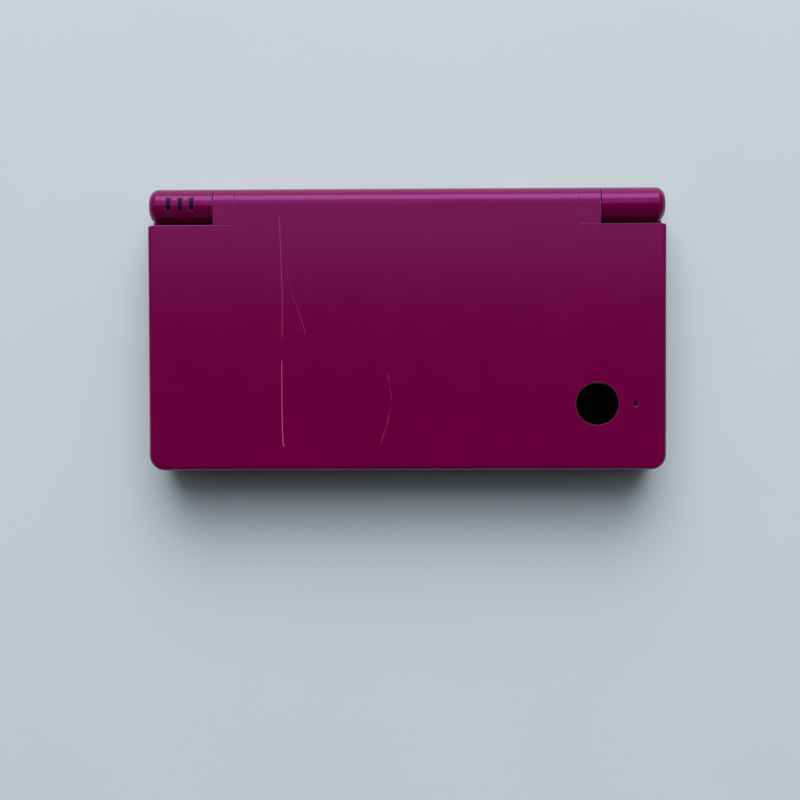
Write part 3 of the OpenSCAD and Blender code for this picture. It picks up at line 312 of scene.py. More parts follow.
def scratched_abs():
    """The casing's ABS as the lid wears it: pale lines where its skin was cut."""
    settings = bpy.context.scene.handheld_casing
    relief = 0.0008 * MM
    material, tree, shader, place, base, gloss, spark = pearl_abs("ABS_pearl_scratched", 0.15, relief, 0.3)
    axes = add(tree, "ShaderNodeSeparateXYZ", {0: place}).outputs
    lid_top = CAD_BOX[1][2]
    top = add(
        tree, "ShaderNodeMapRange",
        {"Value": axes["Z"], "From Min": lid_top - 0.2 * MM, "From Max": lid_top - 0.1 * MM},
    ).outputs[0]
    skips = add(
        tree, "ShaderNodeTexNoise", {"Vector": place, "Scale": 1 / (2.6 * MM), "Detail": 1.0}
    ).outputs[0]
    mark = None
    for points, strength, breaks in SCRATCHES:
        xs, ys = [p[0] * MM for p in points], [p[1] * MM for p in points]
        low, high = min(xs), max(xs)
        stations = [(y - ys[0]) / (ys[-1] - ys[0]) for y in ys]
        along = add(
            tree, "ShaderNodeMapRange", {"Value": axes["Y"], "From Min": ys[0], "From Max": ys[-1]}
        ).outputs[0]
        path = add(tree, "ShaderNodeFloatCurve", {"Value": along})
        draw_curve(path, [(t, (x - low) / (high - low)) for t, x in zip(stations, xs)])
        fade = add(tree, "ShaderNodeFloatCurve", {"Value": along})
        draw_curve(fade, [(0, 0), (0.03, 0.7), (0.5, 0.85), (0.97, 1), (1, 0)])
        centre = add(
            tree, "ShaderNodeMapRange", {"Value": path.outputs[0], "To Min": low, "To Max": high}
        ).outputs[0]
        aside = add(tree, "ShaderNodeMath", {0: axes["X"], 1: centre}, operation="SUBTRACT").outputs[0]
        away = add(tree, "ShaderNodeMath", {0: aside}, operation="ABSOLUTE").outputs[0]
        line = add(
            tree, "ShaderNodeMapRange",
            {"Value": away, "From Min": settings.scratch_width / 2, "From Max": 0.0, "To Max": strength},
            interpolation_type="SMOOTHSTEP",
        ).outputs[0]
        cover = add(
            tree, "ShaderNodeMapRange",
            {"Value": skips, "From Min": 0.4, "From Max": 0.55, "To Min": 1 - breaks, "To Max": 1.0},
        ).outputs[0]
        drawn = add(tree, "ShaderNodeMath", {0: line, 1: fade.outputs[0]}, operation="MULTIPLY").outputs[0]
        drawn = add(tree, "ShaderNodeMath", {0: drawn, 1: cover}, operation="MULTIPLY").outputs[0]
        if mark is not None:
            drawn = add(tree, "ShaderNodeMath", {0: mark, 1: drawn}, operation="MAXIMUM").outputs[0]
        mark = drawn
    mark = add(tree, "ShaderNodeMath", {0: mark, 1: top}, operation="MULTIPLY").outputs[0]
    coloured = add(
        tree, "ShaderNodeMix", {0: mark, 6: base, 7: rgba(settings.scratch_colour)}, data_type="RGBA"
    ).outputs[2]
    tree.links.new(coloured, shader.inputs["Base Color"])
    # A scratch is duller than the skin, and six times as deep as its grain
    rough = add(tree, "ShaderNodeMath", {0: mark, 1: 0.25, 2: gloss}, operation="MULTIPLY_ADD").outputs[0]
    tree.links.new(rough, shader.inputs["Roughness"])
    groove = add(tree, "ShaderNodeMath", {0: mark, 1: -6.0, 2: spark}, operation="MULTIPLY_ADD").outputs[0]
    bump = add(tree, "ShaderNodeBump", {"Height": groove, "Distance": relief}).outputs[0]
    tree.links.new(bump, shader.inputs["Normal"])
    return material


def control_abs():
    """Pearl ABS moulded against a polished tool: a sharper reflection than the casing's."""
    return pearl_abs("ABS_pearl_gloss", 0.12, 0.0004 * MM, 0.25)[0]


def stylus_abs():
    """Pearl ABS rod, moulded and tumbled: a softer gloss, paler where it is held."""
    return pearl_abs("ABS_pearl_tumbled", 0.3, 0.001 * MM, 0.4)[0]


def flap_elastomer():
    """Thermoplastic elastomer with the casing's pigment, moulded: its hue and violet sheen, but duller."""
    settings = bpy.context.scene.handheld_casing
    return moulded(
        "TPE_moulded", settings.colour, 0.36, 0.25 * MM, 0.0015 * MM, IOR=1.5,
        **{"Specular IOR Level": 0.75, "Specular Tint": (0.85, 0.28, 1.0, 1.0)},
    )[0]


def bumper_rubber():
    """Silicone rubber, moulded: a soft dark grey that hardly shines."""
    colour = bpy.context.scene.handheld_hardware.rubber
    return moulded("Silicone_rubber_moulded", colour, 0.66, 0.2 * MM, 0.004 * MM, IOR=1.41, tone=0.08)[0]


def chip_epoxy():
    """Epoxy moulding compound, as on chip packages: near black, matt, with a fine sandy grain."""
    return moulded("Epoxy_moulding_compound", linear("#1C1C1E"), 0.6, 0.15 * MM, 0.004 * MM, tone=0.1)[0]


def connector_lcp():
    """Glass-filled liquid crystal polymer, moulded: dense black with faint pale streaks of flow."""
    return moulded("LCP_glass_filled", linear("#161618"), 0.48, 0.2 * MM, 0.003 * MM, IOR=1.6, tone=0.2)[0]


def battery_case():
    """Polycarbonate and ABS blend, moulded: dark grey and satin, rubbed paler at its corners."""
    return moulded("PC_ABS_moulded", linear("#2B2B2E"), 0.45, 0.3 * MM, 0.002 * MM, IOR=1.55, wear=0.3)[0]


def speaker_film():
    """Polyester film pressed into a dome in a black frame: black, faintly crinkled."""
    return moulded("PET_film_pressed", linear("#141416"), 0.4, 0.5 * MM, 0.01 * MM, IOR=1.57)[0]


def display_glass():
    """Display glass in its black frame: dark and smooth, with a faint unevenness where it is glued."""
    return moulded("Display_glass_framed", linear("#303236"), 0.22, 0.4 * MM, 0.0005 * MM, IOR=1.52)[0]


def smeared(name, sockets, scale, low, high):
    """A polished surface: an even colour whose gloss is broken only by dust and finger marks."""
    material, tree, shader, place = new_material(name, sockets)
    smear = add(tree, "ShaderNodeTexNoise", {"Vector": place, "Scale": 1 / scale, "Detail": 3.0}).outputs[0]
    gloss = add(
        tree, "ShaderNodeMapRange",
        {"Value": smear, "From Min": 0.25, "From Max": 0.8, "To Min": low, "To Max": high},
        interpolation_type="SMOOTHSTEP",
    ).outputs[0]
    tree.links.new(gloss, shader.inputs["Roughness"])
    return material, tree, shader, place


def camera_acrylic():
    """Acrylic, polished and printed black behind: a deep black that mirrors the lights."""
    sockets = {"Base Color": rgba(linear("#020203")), "IOR": 1.49}
    return smeared("PMMA_black_backed", sockets, 4 * MM, 0.05, 0.12)[0]


def lens_glass():
    """Optical glass with a magnesium fluoride coating: black inside, with a violet cast to its shine."""
    sockets = {
        "Base Color": rgba(linear("#08060E")), "IOR": 1.52, "Coat Weight": 1.0, "Coat Roughness": 0.02,
        "Coat Tint": rgba(linear("#B9A6E8")),
    }
    return smeared("Optical_glass_coated", sockets, 0.5 * MM, 0.02, 0.15)[0]


def light_pipe():
    """Smoked polycarbonate, moulded clear: a dark navy with some depth while its light is off."""
    material, tree, shader, place = smeared(
        "Polycarbonate_smoked", {"IOR": 1.58, "Specular IOR Level": 0.12}, 2 * MM, 0.25, 0.35
    )
    haze = add(
        tree, "ShaderNodeTexNoise", {"Vector": place, "Scale": 1 / (0.8 * MM), "Detail": 2.0}
    ).outputs[0]
    tint = add(
        tree, "ShaderNodeMix", {0: haze, 6: rgba(linear("#12021E")), 7: rgba(linear("#220732"))},
        data_type="RGBA",
    ).outputs[2]
    tree.links.new(tint, shader.inputs["Base Color"])
    return material


def screen_sheet(name, node, ior, low):
    """A clear sheet over a display that is off: printed black round it, with the display's cells behind."""
    settings = bpy.context.scene.handheld_screens
    material, tree, shader, place = smeared(name, {"IOR": ior}, 14 * MM, low, low + 0.06)
    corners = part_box(node)
    middle = (corners[0] + corners[1]) / 2
    axes = add(tree, "ShaderNodeSeparateXYZ", {0: place}).outputs
    parts = []
    for axis, size in (("X", settings.width), ("Y", settings.depth)):
        centre = getattr(middle, axis.lower())
        aside = add(tree, "ShaderNodeMath", {0: axes[axis], 1: centre}, operation="SUBTRACT").outputs[0]
        away = add(tree, "ShaderNodeMath", {0: aside}, operation="ABSOLUTE").outputs[0]
        parts.append(add(
            tree, "ShaderNodeMapRange",
            {"Value": away, "From Min": size / 2 + 0.05 * MM, "From Max": size / 2},
        ).outputs[0])
        # The real cells are 0.2 mm apart; they are drawn 0.6 mm apart, so that they show
        wave = add(
            tree, "ShaderNodeMath", {0: aside, 1: 2 * math.pi / (0.6 * MM)}, operation="MULTIPLY"
        ).outputs[0]
        cell = add(tree, "ShaderNodeMath", {0: wave}, operation="COSINE").outputs[0]
        parts.append(add(
            tree, "ShaderNodeMapRange", {"Value": cell, "From Min": -1.0, "From Max": -0.6, "To Min": 0.8}
        ).outputs[0])
    inside = parts[0]
    for part in parts[1:]:
        inside = add(tree, "ShaderNodeMath", {0: inside, 1: part}, operation="MULTIPLY").outputs[0]
    shown = add(
        tree, "ShaderNodeMix", {0: inside, 6: rgba(settings.border), 7: rgba(settings.display)},
        data_type="RGBA",
    ).outputs[2]
    tree.links.new(shown, shader.inputs["Base Color"])
    return material


def screen_acrylic():
    """Acrylic with a hard coating: glossy, over a printed border and a dark display."""
    return screen_sheet("PMMA_hard_coated", "upper_screen_window", 1.49, 0.06)


def touch_film():
    """Polyester film with an anti-glare coat, stretched over glass: the same dark display, softly matt."""
    return screen_sheet("PET_film_anti_glare", "touch_panel", 1.57, 0.22)


def metal(name, colour, roughness, grain, stretch, relief):
    """A bare or plated metal, with its tool marks drawn out along one direction."""
    material, tree, shader, place = new_material(name, {"Metallic": 1.0})
    drawn = add(tree, "ShaderNodeMapping", {"Vector": place, "Scale": stretch}).outputs[0]
    marks = add(tree, "ShaderNodeTexNoise", {"Vector": drawn, "Scale": 1 / grain, "Detail": 3.0}).outputs[0]
    tint = add(
        tree, "ShaderNodeMix", {0: marks, 6: rgba(colour, 0.9), 7: rgba(colour, 1.08)}, data_type="RGBA"
    ).outputs[2]
    tree.links.new(tint, shader.inputs["Base Color"])
    gloss = add(
        tree, "ShaderNodeMapRange",
        {"Value": marks, "From Min": 0.3, "From Max": 0.7,
         "To Min": roughness - 0.06, "To Max": roughness + 0.08},
    ).outputs[0]
    tree.links.new(gloss, shader.inputs["Roughness"])
    bump = add(tree, "ShaderNodeBump", {"Height": marks, "Distance": relief}).outputs[0]
    tree.links.new(bump, shader.inputs["Normal"])
    return material


def ground_steel():
    """Bearing steel, centreless ground: bright, with rings of fine grinding marks round the pin."""
    settings = bpy.context.scene.handheld_hardware
    return metal("Steel_ground", settings.steel, 0.26, 0.2 * MM, (6, 1, 1), 0.001 * MM)


def tinned_steel():
    """Tinned steel sheet, stamped: greyish white, with a soft rolled sheen along its width."""
    return metal("Steel_tinned_stamped", linear("#C6C8CA"), 0.34, 0.5 * MM, (0.2, 2, 2), 0.001 * MM)


def plated_screw():
    """Steel, cold headed and zinc plated dark: a dull grey with faint forming marks."""
    settings = bpy.context.scene.handheld_hardware
    return metal("Steel_zinc_plated", settings.screw, 0.38, 0.25 * MM, (1, 1, 1), 0.002 * MM)


def circuit_board():
    """FR4 laminate under solder resist: glossy green, paler where the copper tracks run under it."""
    material, tree, shader, place = smeared("FR4_solder_resist", {"IOR": 1.55}, 5 * MM, 0.24, 0.34)
    tracks = add(
        tree, "ShaderNodeTexBrick",
        {"Vector": place, "Color1": rgba(linear("#1E6B50")), "Color2": rgba(linear("#17573F")),
         "Mortar": rgba(linear("#2E8566")), "Scale": 1 / (10 * MM),
         "Mortar Size": 0.012, "Brick Width": 0.6, "Row Height": 0.11},
    ).outputs[0]
    tree.links.new(tracks, shader.inputs["Base Color"])
    # The glass cloth's threads are 0.6 mm apart
    weave = add(
        tree, "ShaderNodeTexNoise", {"Vector": place, "Scale": 1 / (0.6 * MM), "Detail": 1.0}
    ).outputs[0]
    bump = add(tree, "ShaderNodeBump", {"Height": weave, "Distance": 0.002 * MM}).outputs[0]
    tree.links.new(bump, shader.inputs["Normal"])
    return material


def ribbon_film():
    """Polyimide film over etched copper: amber, with a darker line between each two conductors."""
    material, tree, shader, place = smeared("Polyimide_flex", {"IOR": 1.7}, 3 * MM, 0.26, 0.36)
    # The conductors are 0.5 mm apart, and a wave repeats 20 times in two pi of its scale
    stripes = add(
        tree, "ShaderNodeTexWave", {"Vector": place, "Scale": 2 * math.pi / (20 * 0.5 * MM)},
        bands_direction="X",
    ).outputs[1]
    tint = add(
        tree, "ShaderNodeMix", {0: stripes, 6: rgba(linear("#8A4A12")), 7: rgba(linear("#C27A26"))},
        data_type="RGBA",
    ).outputs[2]
    tree.links.new(tint, shader.inputs["Base Color"])
    return material


def finish(maker):
    """The material that a function makes, made once."""
    if maker not in MATERIALS:
        MATERIALS[maker] = maker()
    return MATERIALS[maker]


# Shapes, with their sizes in millimetres


def merged_copy(*nodes):
    """The surface of CAD nodes, with their loose triangles merged and their flat faces made whole."""
    bm = bmesh.new()
    for node in nodes:
        bm.from_mesh(frame["nodes"][node].data)
    bmesh.ops.remove_doubles(bm, verts=bm.verts, dist=JOIN)
    bmesh.ops.dissolve_limit(
        bm, angle_limit=math.radians(0.5), verts=bm.verts, edges=bm.edges, delimit={"NORMAL"}
    )
    return bm


def corners_of(node):
    """Lowest and highest corner of a CAD node."""
    low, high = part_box(node)
    return low / MM, high / MM


def solids_of(node):
    """Lowest and highest corner of each solid of a CAD node."""
    bm = bmesh.new()
    bm.from_mesh(frame["nodes"][node].data)
    bmesh.ops.remove_doubles(bm, verts=bm.verts, dist=JOIN)
    left, solids = set(bm.verts), []
    while left:
        found = [left.pop()]
        for vert in found:
            near = {edge.other_vert(vert) for edge in vert.link_edges} & left
            left -= near
            found.extend(near)
        places = [vert.co / MM for vert in found]
        solids.append(tuple(Vector(pick(p[i] for p in places) for i in range(3)) for pick in (min, max)))
    bm.free()
    return sorted(solids, key=lambda corners: tuple(corners[0]))


def turned(bm, profile, place, along=(0, 0, 1), steps=48):
    """Adds a shape turned from its (radius, height) points round an axis through a place."""
    axis = Vector(along)
    side = axis.orthogonal().normalized()
    centre = Vector(place) * MM
    verts = [bm.verts.new(centre + (side * radius + axis * height) * MM) for radius, height in profile]
    edges = [bm.edges.new(pair) for pair in zip(verts, verts[1:])]
    bmesh.ops.spin(
        bm, geom=verts + edges, cent=centre, axis=axis, angle=2 * math.pi, steps=steps, use_merge=True
    )
    bmesh.ops.remove_doubles(bm, verts=bm.verts, dist=0.0005 * MM)
    bmesh.ops.recalc_face_normals(bm, faces=bm.faces)


def crowned(radius, top, rise, steps=6):
    """Points of a domed top, from its rim to its middle."""
    return [(radius * i / steps, top - rise * (i / steps) ** 2) for i in range(steps, -1, -1)]


def block(bm, low, high):
    """Adds a block between two corners."""
    low, high = Vector(low) * MM, Vector(high) * MM
    matrix = Matrix.Translation((low + high) / 2) @ Matrix.Diagonal((*(high - low), 1))
    bmesh.ops.create_cube(bm, size=1, matrix=matrix)


def round_off(bm, lines, radius):
    """Rounds the given edges."""
    bmesh.ops.bevel(
        bm, geom=lines, offset=radius * MM, segments=4, profile=0.5, affect="EDGES", material=-1
    )


def cross(bm, place, half, arm, low, high, ease=0.0):
    """Adds an upright cross: a square block with its four sides drawn out and its outer corners eased."""
    x, y = place
    block(bm, (x - arm / 2, y - arm / 2, low), (x + arm / 2, y + arm / 2, high))
    bm.normal_update()
    middle = Vector((x, y, (low + high) / 2)) * MM
    sides = [
        face for face in bm.faces
        if abs(face.normal.z) < 0.5 and (face.calc_center_median() - middle).length < arm * MM
    ]
    for face in sides:
        out = face.normal * (half - arm / 2) * MM
        drawn = bmesh.ops.extrude_discrete_faces(bm, faces=[face])["faces"]
        bmesh.ops.translate(bm, vec=out, verts=drawn[0].verts)
    if ease:
        reach = (half - 0.01) * MM
        ends = [
            line for line in bm.edges
            if abs(line.verts[0].co.z - line.verts[1].co.z) > 0.01 * MM
            and max(abs(line.verts[0].co.x - x * MM), abs(line.verts[0].co.y - y * MM)) > reach
        ]
        round_off(bm, ends, ease)
    bmesh.ops.recalc_face_normals(bm, faces=bm.faces)


def cut(bm, cutter):
    """One mesh with another taken away from it."""
    objects = []
    for source in (bm, cutter):
        mesh = bpy.data.meshes.new("Cut")
        source.to_mesh(mesh)
        source.free()
        objects.append(bpy.data.objects.new("Cut", mesh))
        bpy.context.scene.collection.objects.link(objects[-1])
    tool = objects[0].modifiers.new("Cut", "BOOLEAN")
    tool.object = objects[1]
    tool.solver = "EXACT"
    result = bmesh.new()
    result.from_object(objects[0], bpy.context.evaluated_depsgraph_get())
    for item in objects:
        mesh = item.data
        bpy.data.objects.remove(item)
        bpy.data.meshes.remove(mesh)
    return result


# Pieces


def show(bm, name, maker, nodes=(), edge=0.0, on=None, seams=()):
    """Makes a piece of a mesh, rounds its outward edges, and sets it in place of CAD nodes or on a body."""
    weight = bm.edges.layers.float.new("bevel_weight_edge")
    for line in bm.edges:
        line[weight] = float(line.is_manifold and line.calc_face_angle_signed() > ROUNDED_TURN)
        # Edges that meet another part closely are left sharper than those a hand touches
        middle = (line.verts[0].co + line.verts[1].co) / 2
        if any(all(a < c < b for a, c, b in zip(low, middle, high)) for low, high in seams):
            line[weight] *= SEAM_SHARE
    mesh = bpy.data.meshes.new(name)
    bm.to_mesh(mesh)
    bm.free()
    mesh.shade_smooth()
    mesh.set_sharp_from_angle(angle=CREASE_TURN)
    mesh.materials.append(finish(maker))
    piece = bpy.data.objects.new(name, mesh)
    bpy.context.scene.collection.objects.link(piece)
    if edge:
        bevel = piece.modifiers.new("Rounded edges", "BEVEL")
        bevel.width = edge
        bevel.segments = 2
        bevel.limit_method = "WEIGHT"
        bevel.use_clamp_overlap = False
    # Points that the bevel or a cut leaves in one place are made one
    merged = piece.modifiers.new("Merged points", "WELD")
    merged.merge_threshold = 0.001 * MM
    weighted = piece.modifiers.new("Flat faces", "WEIGHTED_NORMAL")
    weighted.keep_sharp = True
    home = on or nodes[0]
    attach(piece, BODY_OF[home])
    if nodes:
        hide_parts(*nodes)
    return piece


def keep(maker, *nodes):
    """Leaves CAD nodes as they are, with a finish of their own."""
    for node in nodes:
        for slot in frame["nodes"][node].material_slots:
            slot.material = finish(maker)


class HANDHELD_OT_casing(bpy.types.Operator):
    """Lid and base casing, with their edges rounded as a mould leaves them"""

    bl_idname = "handheld.casing"
    bl_label = "Casing"

    def execute(self, context):
        edge = context.scene.handheld_casing.edge
        low, high = corners_of("outer_camera_window")
        rim = Vector((0.5, 0.5, 1))
        # Round the camera window, at the knuckles and at the lid's rear corners, edges stay nearly sharp
        seams = [(low - rim, high + rim)]
        side, rear, top = (c / MM for c in CAD_BOX[1])
        for x in (-KNUCKLE_OUTER, KNUCKLE_OUTER - KNUCKLE_WIDTH):
            seams.append((Vector((x, REAR_EDGE - 0.45, 0)), Vector((x + KNUCKLE_WIDTH, rear + 1, top + 1))))
        for x in (-side, side - 2):
            seams.append((Vector((x, REAR_EDGE - 1, top - 1)), Vector((x + 2, REAR_EDGE + 0.1, top + 0.1))))
        # The two rear corners beside the end barrels are rounded
        bm = merged_copy("lid_cover")
        corners = [
            line for line in bm.edges
            if all(abs(v.co.y - REAR_EDGE * MM) < 0.02 * MM for v in line.verts)
            and all(abs(v.co.x) > (side - CORNER_REACH) * MM for v in line.verts)
            and abs(line.verts[0].co.z - line.verts[1].co.z) > 0.001 * MM
        ]
        round_off(bm, corners, CORNER_RADIUS)
        seams = [(low * MM, high * MM) for low, high in seams]
        show(bm, "lid_cover_shell", scratched_abs, ["lid_cover"], edge, seams=seams)
        for node in ("lid_inner_frame", "base_deck", "bottom_case", "battery_cover"):
            show(merged_copy(node), f"{node}_shell", casing_abs, [node], edge * 0.7, seams=seams)
        return {"FINISHED"}


class HANDHELD_OT_cameras(bpy.types.Operator):
    """Round camera window, its indicator light, and the camera in the hinge"""

    bl_idname = "handheld.cameras"
    bl_label = "Cameras"

    def execute(self, context):
        low, high = corners_of("outer_camera_window")
        middle, radius, chamfer = (low + high) / 2, (high.x - low.x) / 2, 0.12
        bm = bmesh.new()
        turned(
            bm,
            [(0, low.z), (radius, low.z), (radius, high.z - chamfer), (radius - chamfer, high.z),
             (0, high.z)],
            (middle.x, middle.y, 0), steps=96,
        )
        show(bm, "outer_camera_disc", camera_acrylic, ["outer_camera_window"], 0.03 * MM)
        low, high = corners_of("inner_camera")
        middle, radius, well = (low + high) / 2, (high.x - low.x) / 2, low.z + 0.3
        bm = bmesh.new()
        turned(
            bm,
            [(0, well), (radius - 0.7, well), (radius - 0.6, low.z), (radius, low.z), (radius, high.z),
             (0, high.z)],
            (middle.x, middle.y, 0),
        )
        show(bm, "inner_camera_housing", connector_lcp, ["inner_camera"], 0.05 * MM)
        # The lens faces down from the bottom of its well, so its dome is turned over
        bm = bmesh.new()
        dome = [(r, 2 * well - 0.01 - z) for r, z in crowned(radius - 0.75, low.z + 0.5, 0.18)]
        turned(bm, [(0, well - 0.01)] + dome, (middle.x, middle.y, 0))
        show(bm, "inner_camera_lens", lens_glass, on="inner_camera")
        show(merged_copy("camera_light_pipe"), "camera_light", light_pipe, ["camera_light_pipe"], 0.05 * MM)
        keep(connector_lcp, "outer_camera_module")
        keep(tinned_steel, "microphone")
        return {"FINISHED"}


class HANDHELD_OT_lights(bpy.types.Operator):
    """Three status lights in the left end of the hinge"""

    bl_idname = "handheld.lights"
    bl_label = "Status lights"

    def execute(self, context):
        node = "status_light_pipes"
        show(merged_copy(node), "status_lights", light_pipe, [node], 0.06 * MM)
        return {"FINISHED"}


class HANDHELD_OT_screens(bpy.types.Operator):
    """Upper window and lower touch screen over their displays"""

    bl_idname = "handheld.screens"
    bl_label = "Screens"

    def execute(self, context):
        edge = context.scene.handheld_casing.small_edge
        for node, name, maker in (
            ("upper_screen_window", "upper_screen_sheet", screen_acrylic),
            ("touch_panel", "touch_screen_sheet", touch_film),
        ):
            show(merged_copy(node), name, maker, [node], edge)
        keep(display_glass, "upper_display", "lower_display")
        return {"FINISHED"}


class HANDHELD_OT_speakers(bpy.types.Operator):
    """Two loudspeakers behind the slots beside the upper screen"""

    bl_idname = "handheld.speakers"
    bl_label = "Speakers"

    def execute(self, context):
        for node in ("left_speaker", "right_speaker"):
            show(merged_copy(node), f"{node}_unit", speaker_film, [node], 0.15 * MM)
        return {"FINISHED"}


class HANDHELD_OT_direction_pad(bpy.types.Operator):
    """Direction pad: a cross with a dished middle and a plain arrow at the end of each arm"""

    bl_idname = "handheld.direction_pad"
    bl_label = "Direction pad"

    def execute(self, context):
        settings = context.scene.handheld_controls
        low, high = corners_of("dpad")
        x, y = (low.x + high.x) / 2, (low.y + high.y) / 2
        half, arm, dish = settings.pad_width / 2 / MM, settings.arm / MM, settings.dish / MM
        bm = bmesh.new()
        cross(bm, (x, y), half, arm, low.z + 0.5, high.z, ease=1.0)
        # The dish is a shallow bowl, as round in its middle as a ball of this radius
        ball, points = 12, 12
        rim = math.sqrt(2 * ball * (dish + 0.05))
        radii = [rim * i / points for i in range(points + 1)]
        bowl = [(radius, high.z - dish + radius ** 2 / (2 * ball)) for radius in radii]
        cutter = bmesh.new()
        turned(cutter, bowl + [(rim, high.z + 1), (0, high.z + 1)], (x, y, 0))
        # Each arrow is a three-sided cutter whose point looks outwards
        arrow = Matrix.Translation(Vector((half - 2.6, 0, 0)) * MM) @ Matrix.Rotation(-math.pi / 2, 4, "Z")
        for turn in range(4):
            quarter = Matrix.Rotation(turn * math.pi / 2, 4, "Z")
            bmesh.ops.create_cone(
                cutter, cap_ends=True, segments=3, radius1=0.9 * MM, radius2=1.1 * MM, depth=0.3 * MM,
                matrix=Matrix.Translation(Vector((x, y, high.z)) * MM) @ quarter @ arrow,
            )
        bm = cut(bm, cutter)
        flange, flange_top = (high.x - low.x) / 2, low.z + 0.55
        turned(
            bm, [(0, low.z), (flange, low.z), (flange, flange_top), (0, flange_top)], (x, y, 0), steps=64
        )
        show(bm, "direction_pad", control_abs, ["dpad"], 0.22 * MM)
        keep(bumper_rubber, "dpad_rubber")
        return {"FINISHED"}


class HANDHELD_OT_buttons(bpy.types.Operator):
    """Four action buttons, and the start, select and power buttons, with domed tops"""

    bl_idname = "handheld.buttons"
    bl_label = "Buttons"

    def execute(self, context):
        settings = context.scene.handheld_controls
        action = ["button_a", "button_b", "button_x", "button_y"]
        for node in action + ["start_button", "select_button", "power_button"]:
            cap = (settings.action_radius if node in action else settings.small_radius) / MM
            low, high = corners_of(node)
            flange, flange_top = (high.x - low.x) / 2, low.z + 0.7
            bm = bmesh.new()
            turned(
                bm,
                [(0, low.z), (flange, low.z), (flange, flange_top), (cap, flange_top)]
                + crowned(cap, high.z, settings.crown / MM),
                ((low.x + high.x) / 2, (low.y + high.y) / 2, 0), steps=64,
            )
            show(bm, f"{node}_cap", control_abs, [node], 0.25 * MM)
        keep(bumper_rubber, "action_button_rubber", "start_select_rubber", "power_button_rubber")
        return {"FINISHED"}


class HANDHELD_OT_shoulders(bpy.types.Operator):
    """Shoulder buttons at the rear corners, with their springs, pins and switches"""

    bl_idname = "handheld.shoulders"
    bl_label = "Shoulder buttons"

    def execute(self, context):
        for side in ("left", "right"):
            node = f"{side}_shoulder_button"
            show(merged_copy(node), f"{node}_cap", control_abs, [node], 0.15 * MM)
            keep(ground_steel, f"{side}_shoulder_spring")
        keep(ground_steel, "shoulder_pins")
        keep(connector_lcp, "shoulder_switches")
        return {"FINISHED"}


class HANDHELD_OT_side_parts(bpy.types.Operator):
    """Volume rocker and memory card flap in the sides"""

    bl_idname = "handheld.side_parts"
    bl_label = "Side parts"

    def execute(self, context):
        edge = 0.1 * MM
        # Two grooves across the rocker's middle tell a finger where it tips
        low, high = corners_of("volume_rocker")
        middle, groove = (low.y + high.y) / 2, 0.24
        cutter = bmesh.new()
        for y in (middle - 0.4, middle + 0.4):
            block(cutter, (low.x - 1, y - groove / 2, low.z - 1), (low.x + 0.15, y + groove / 2, high.z + 1))
        rocker = cut(merged_copy("volume_rocker"), cutter)
        show(rocker, "volume_rocker_key", control_abs, ["volume_rocker"], edge)
        show(merged_copy("sd_slot_cover"), "memory_card_flap", flap_elastomer, ["sd_slot_cover"], edge)
        keep(connector_lcp, "volume_switch")
        keep(tinned_steel, "sd_card_reader")
        return {"FINISHED"}


class HANDHELD_OT_stylus(bpy.types.Operator):
    """Stylus in the right side, with a tapered tip and a fingernail notch"""

    bl_idname = "handheld.stylus"
    bl_label = "Stylus"

    def execute(self, context):
        low, high = corners_of("stylus")
        tip, end, radius, middle = low.x, high.x, (high.y - low.y) / 2, (low + high) / 2
        bm = bmesh.new()
        turned(
            bm,
            [(0, tip), (0.3, tip + 0.06), (0.5, tip + 0.25), (0.62, tip + 0.6), (radius - 0.3, tip + 7),
             (radius, tip + 9), (radius, end - 0.5), (radius - 0.12, end - 0.2), (radius - 0.4, end),
             (0, end)],
            (0, middle.y, middle.z), along=(1, 0, 0),
        )
        notch = bmesh.new()
        block(notch, (end - 3, middle.y - 3, middle.z - 3), (end - 1.6, middle.y + 3, low.z + 0.5))
        show(cut(bm, notch), "stylus_pen_body", stylus_abs, ["stylus"], 0.08 * MM)
        return {"FINISHED"}


class HANDHELD_OT_hinge(bpy.types.Operator):
    """Hinge shaft, bush and cartridge, with the display ribbon that runs through them"""

    bl_idname = "handheld.hinge"
    bl_label = "Hinge"

    def execute(self, context):
        for node in ("hinge_cartridge", "hinge_shaft", "hinge_bush"):
            show(merged_copy(node), f"{node}_part", ground_steel, [node], 0.1 * MM)
        keep(ribbon_film, "lid_ribbon", "base_ribbon")
        return {"FINISHED"}


class HANDHELD_OT_screws(bpy.types.Operator):
    """Screws of the lid, the case and the battery cover, each with a cross recess in its head"""

    bl_idname = "handheld.screws"
    bl_label = "Screws"

    def execute(self, context):
        heads = {"lid_screws": 0.8, "case_screws": 0.8, "battery_cover_screws": 0.38}
        for node, head in heads.items():
            bm, cutter = bmesh.new(), bmesh.new()
            for low, high in solids_of(node):
                x, y, radius = (low.x + high.x) / 2, (low.y + high.y) / 2, (high.x - low.x) / 2
                shank = radius / 2
                turned(
                    bm,
                    [(0, low.z), (radius * 0.6, low.z + 0.03), (radius * 0.9, low.z + 0.3 * head),
                     (radius, low.z + 0.6 * head), (radius, low.z + head), (shank, low.z + head),
                     (shank, high.z - 0.5), (shank * 0.5, high.z), (0, high.z)],
                    (x, y, 0), steps=32,
                )
                cross(cutter, (x, y), radius * 0.6, radius * 0.2, low.z - 0.5, low.z + 0.7 * head)
            show(cut(bm, cutter), f"{node}_set", plated_screw, [node])
        return {"FINISHED"}


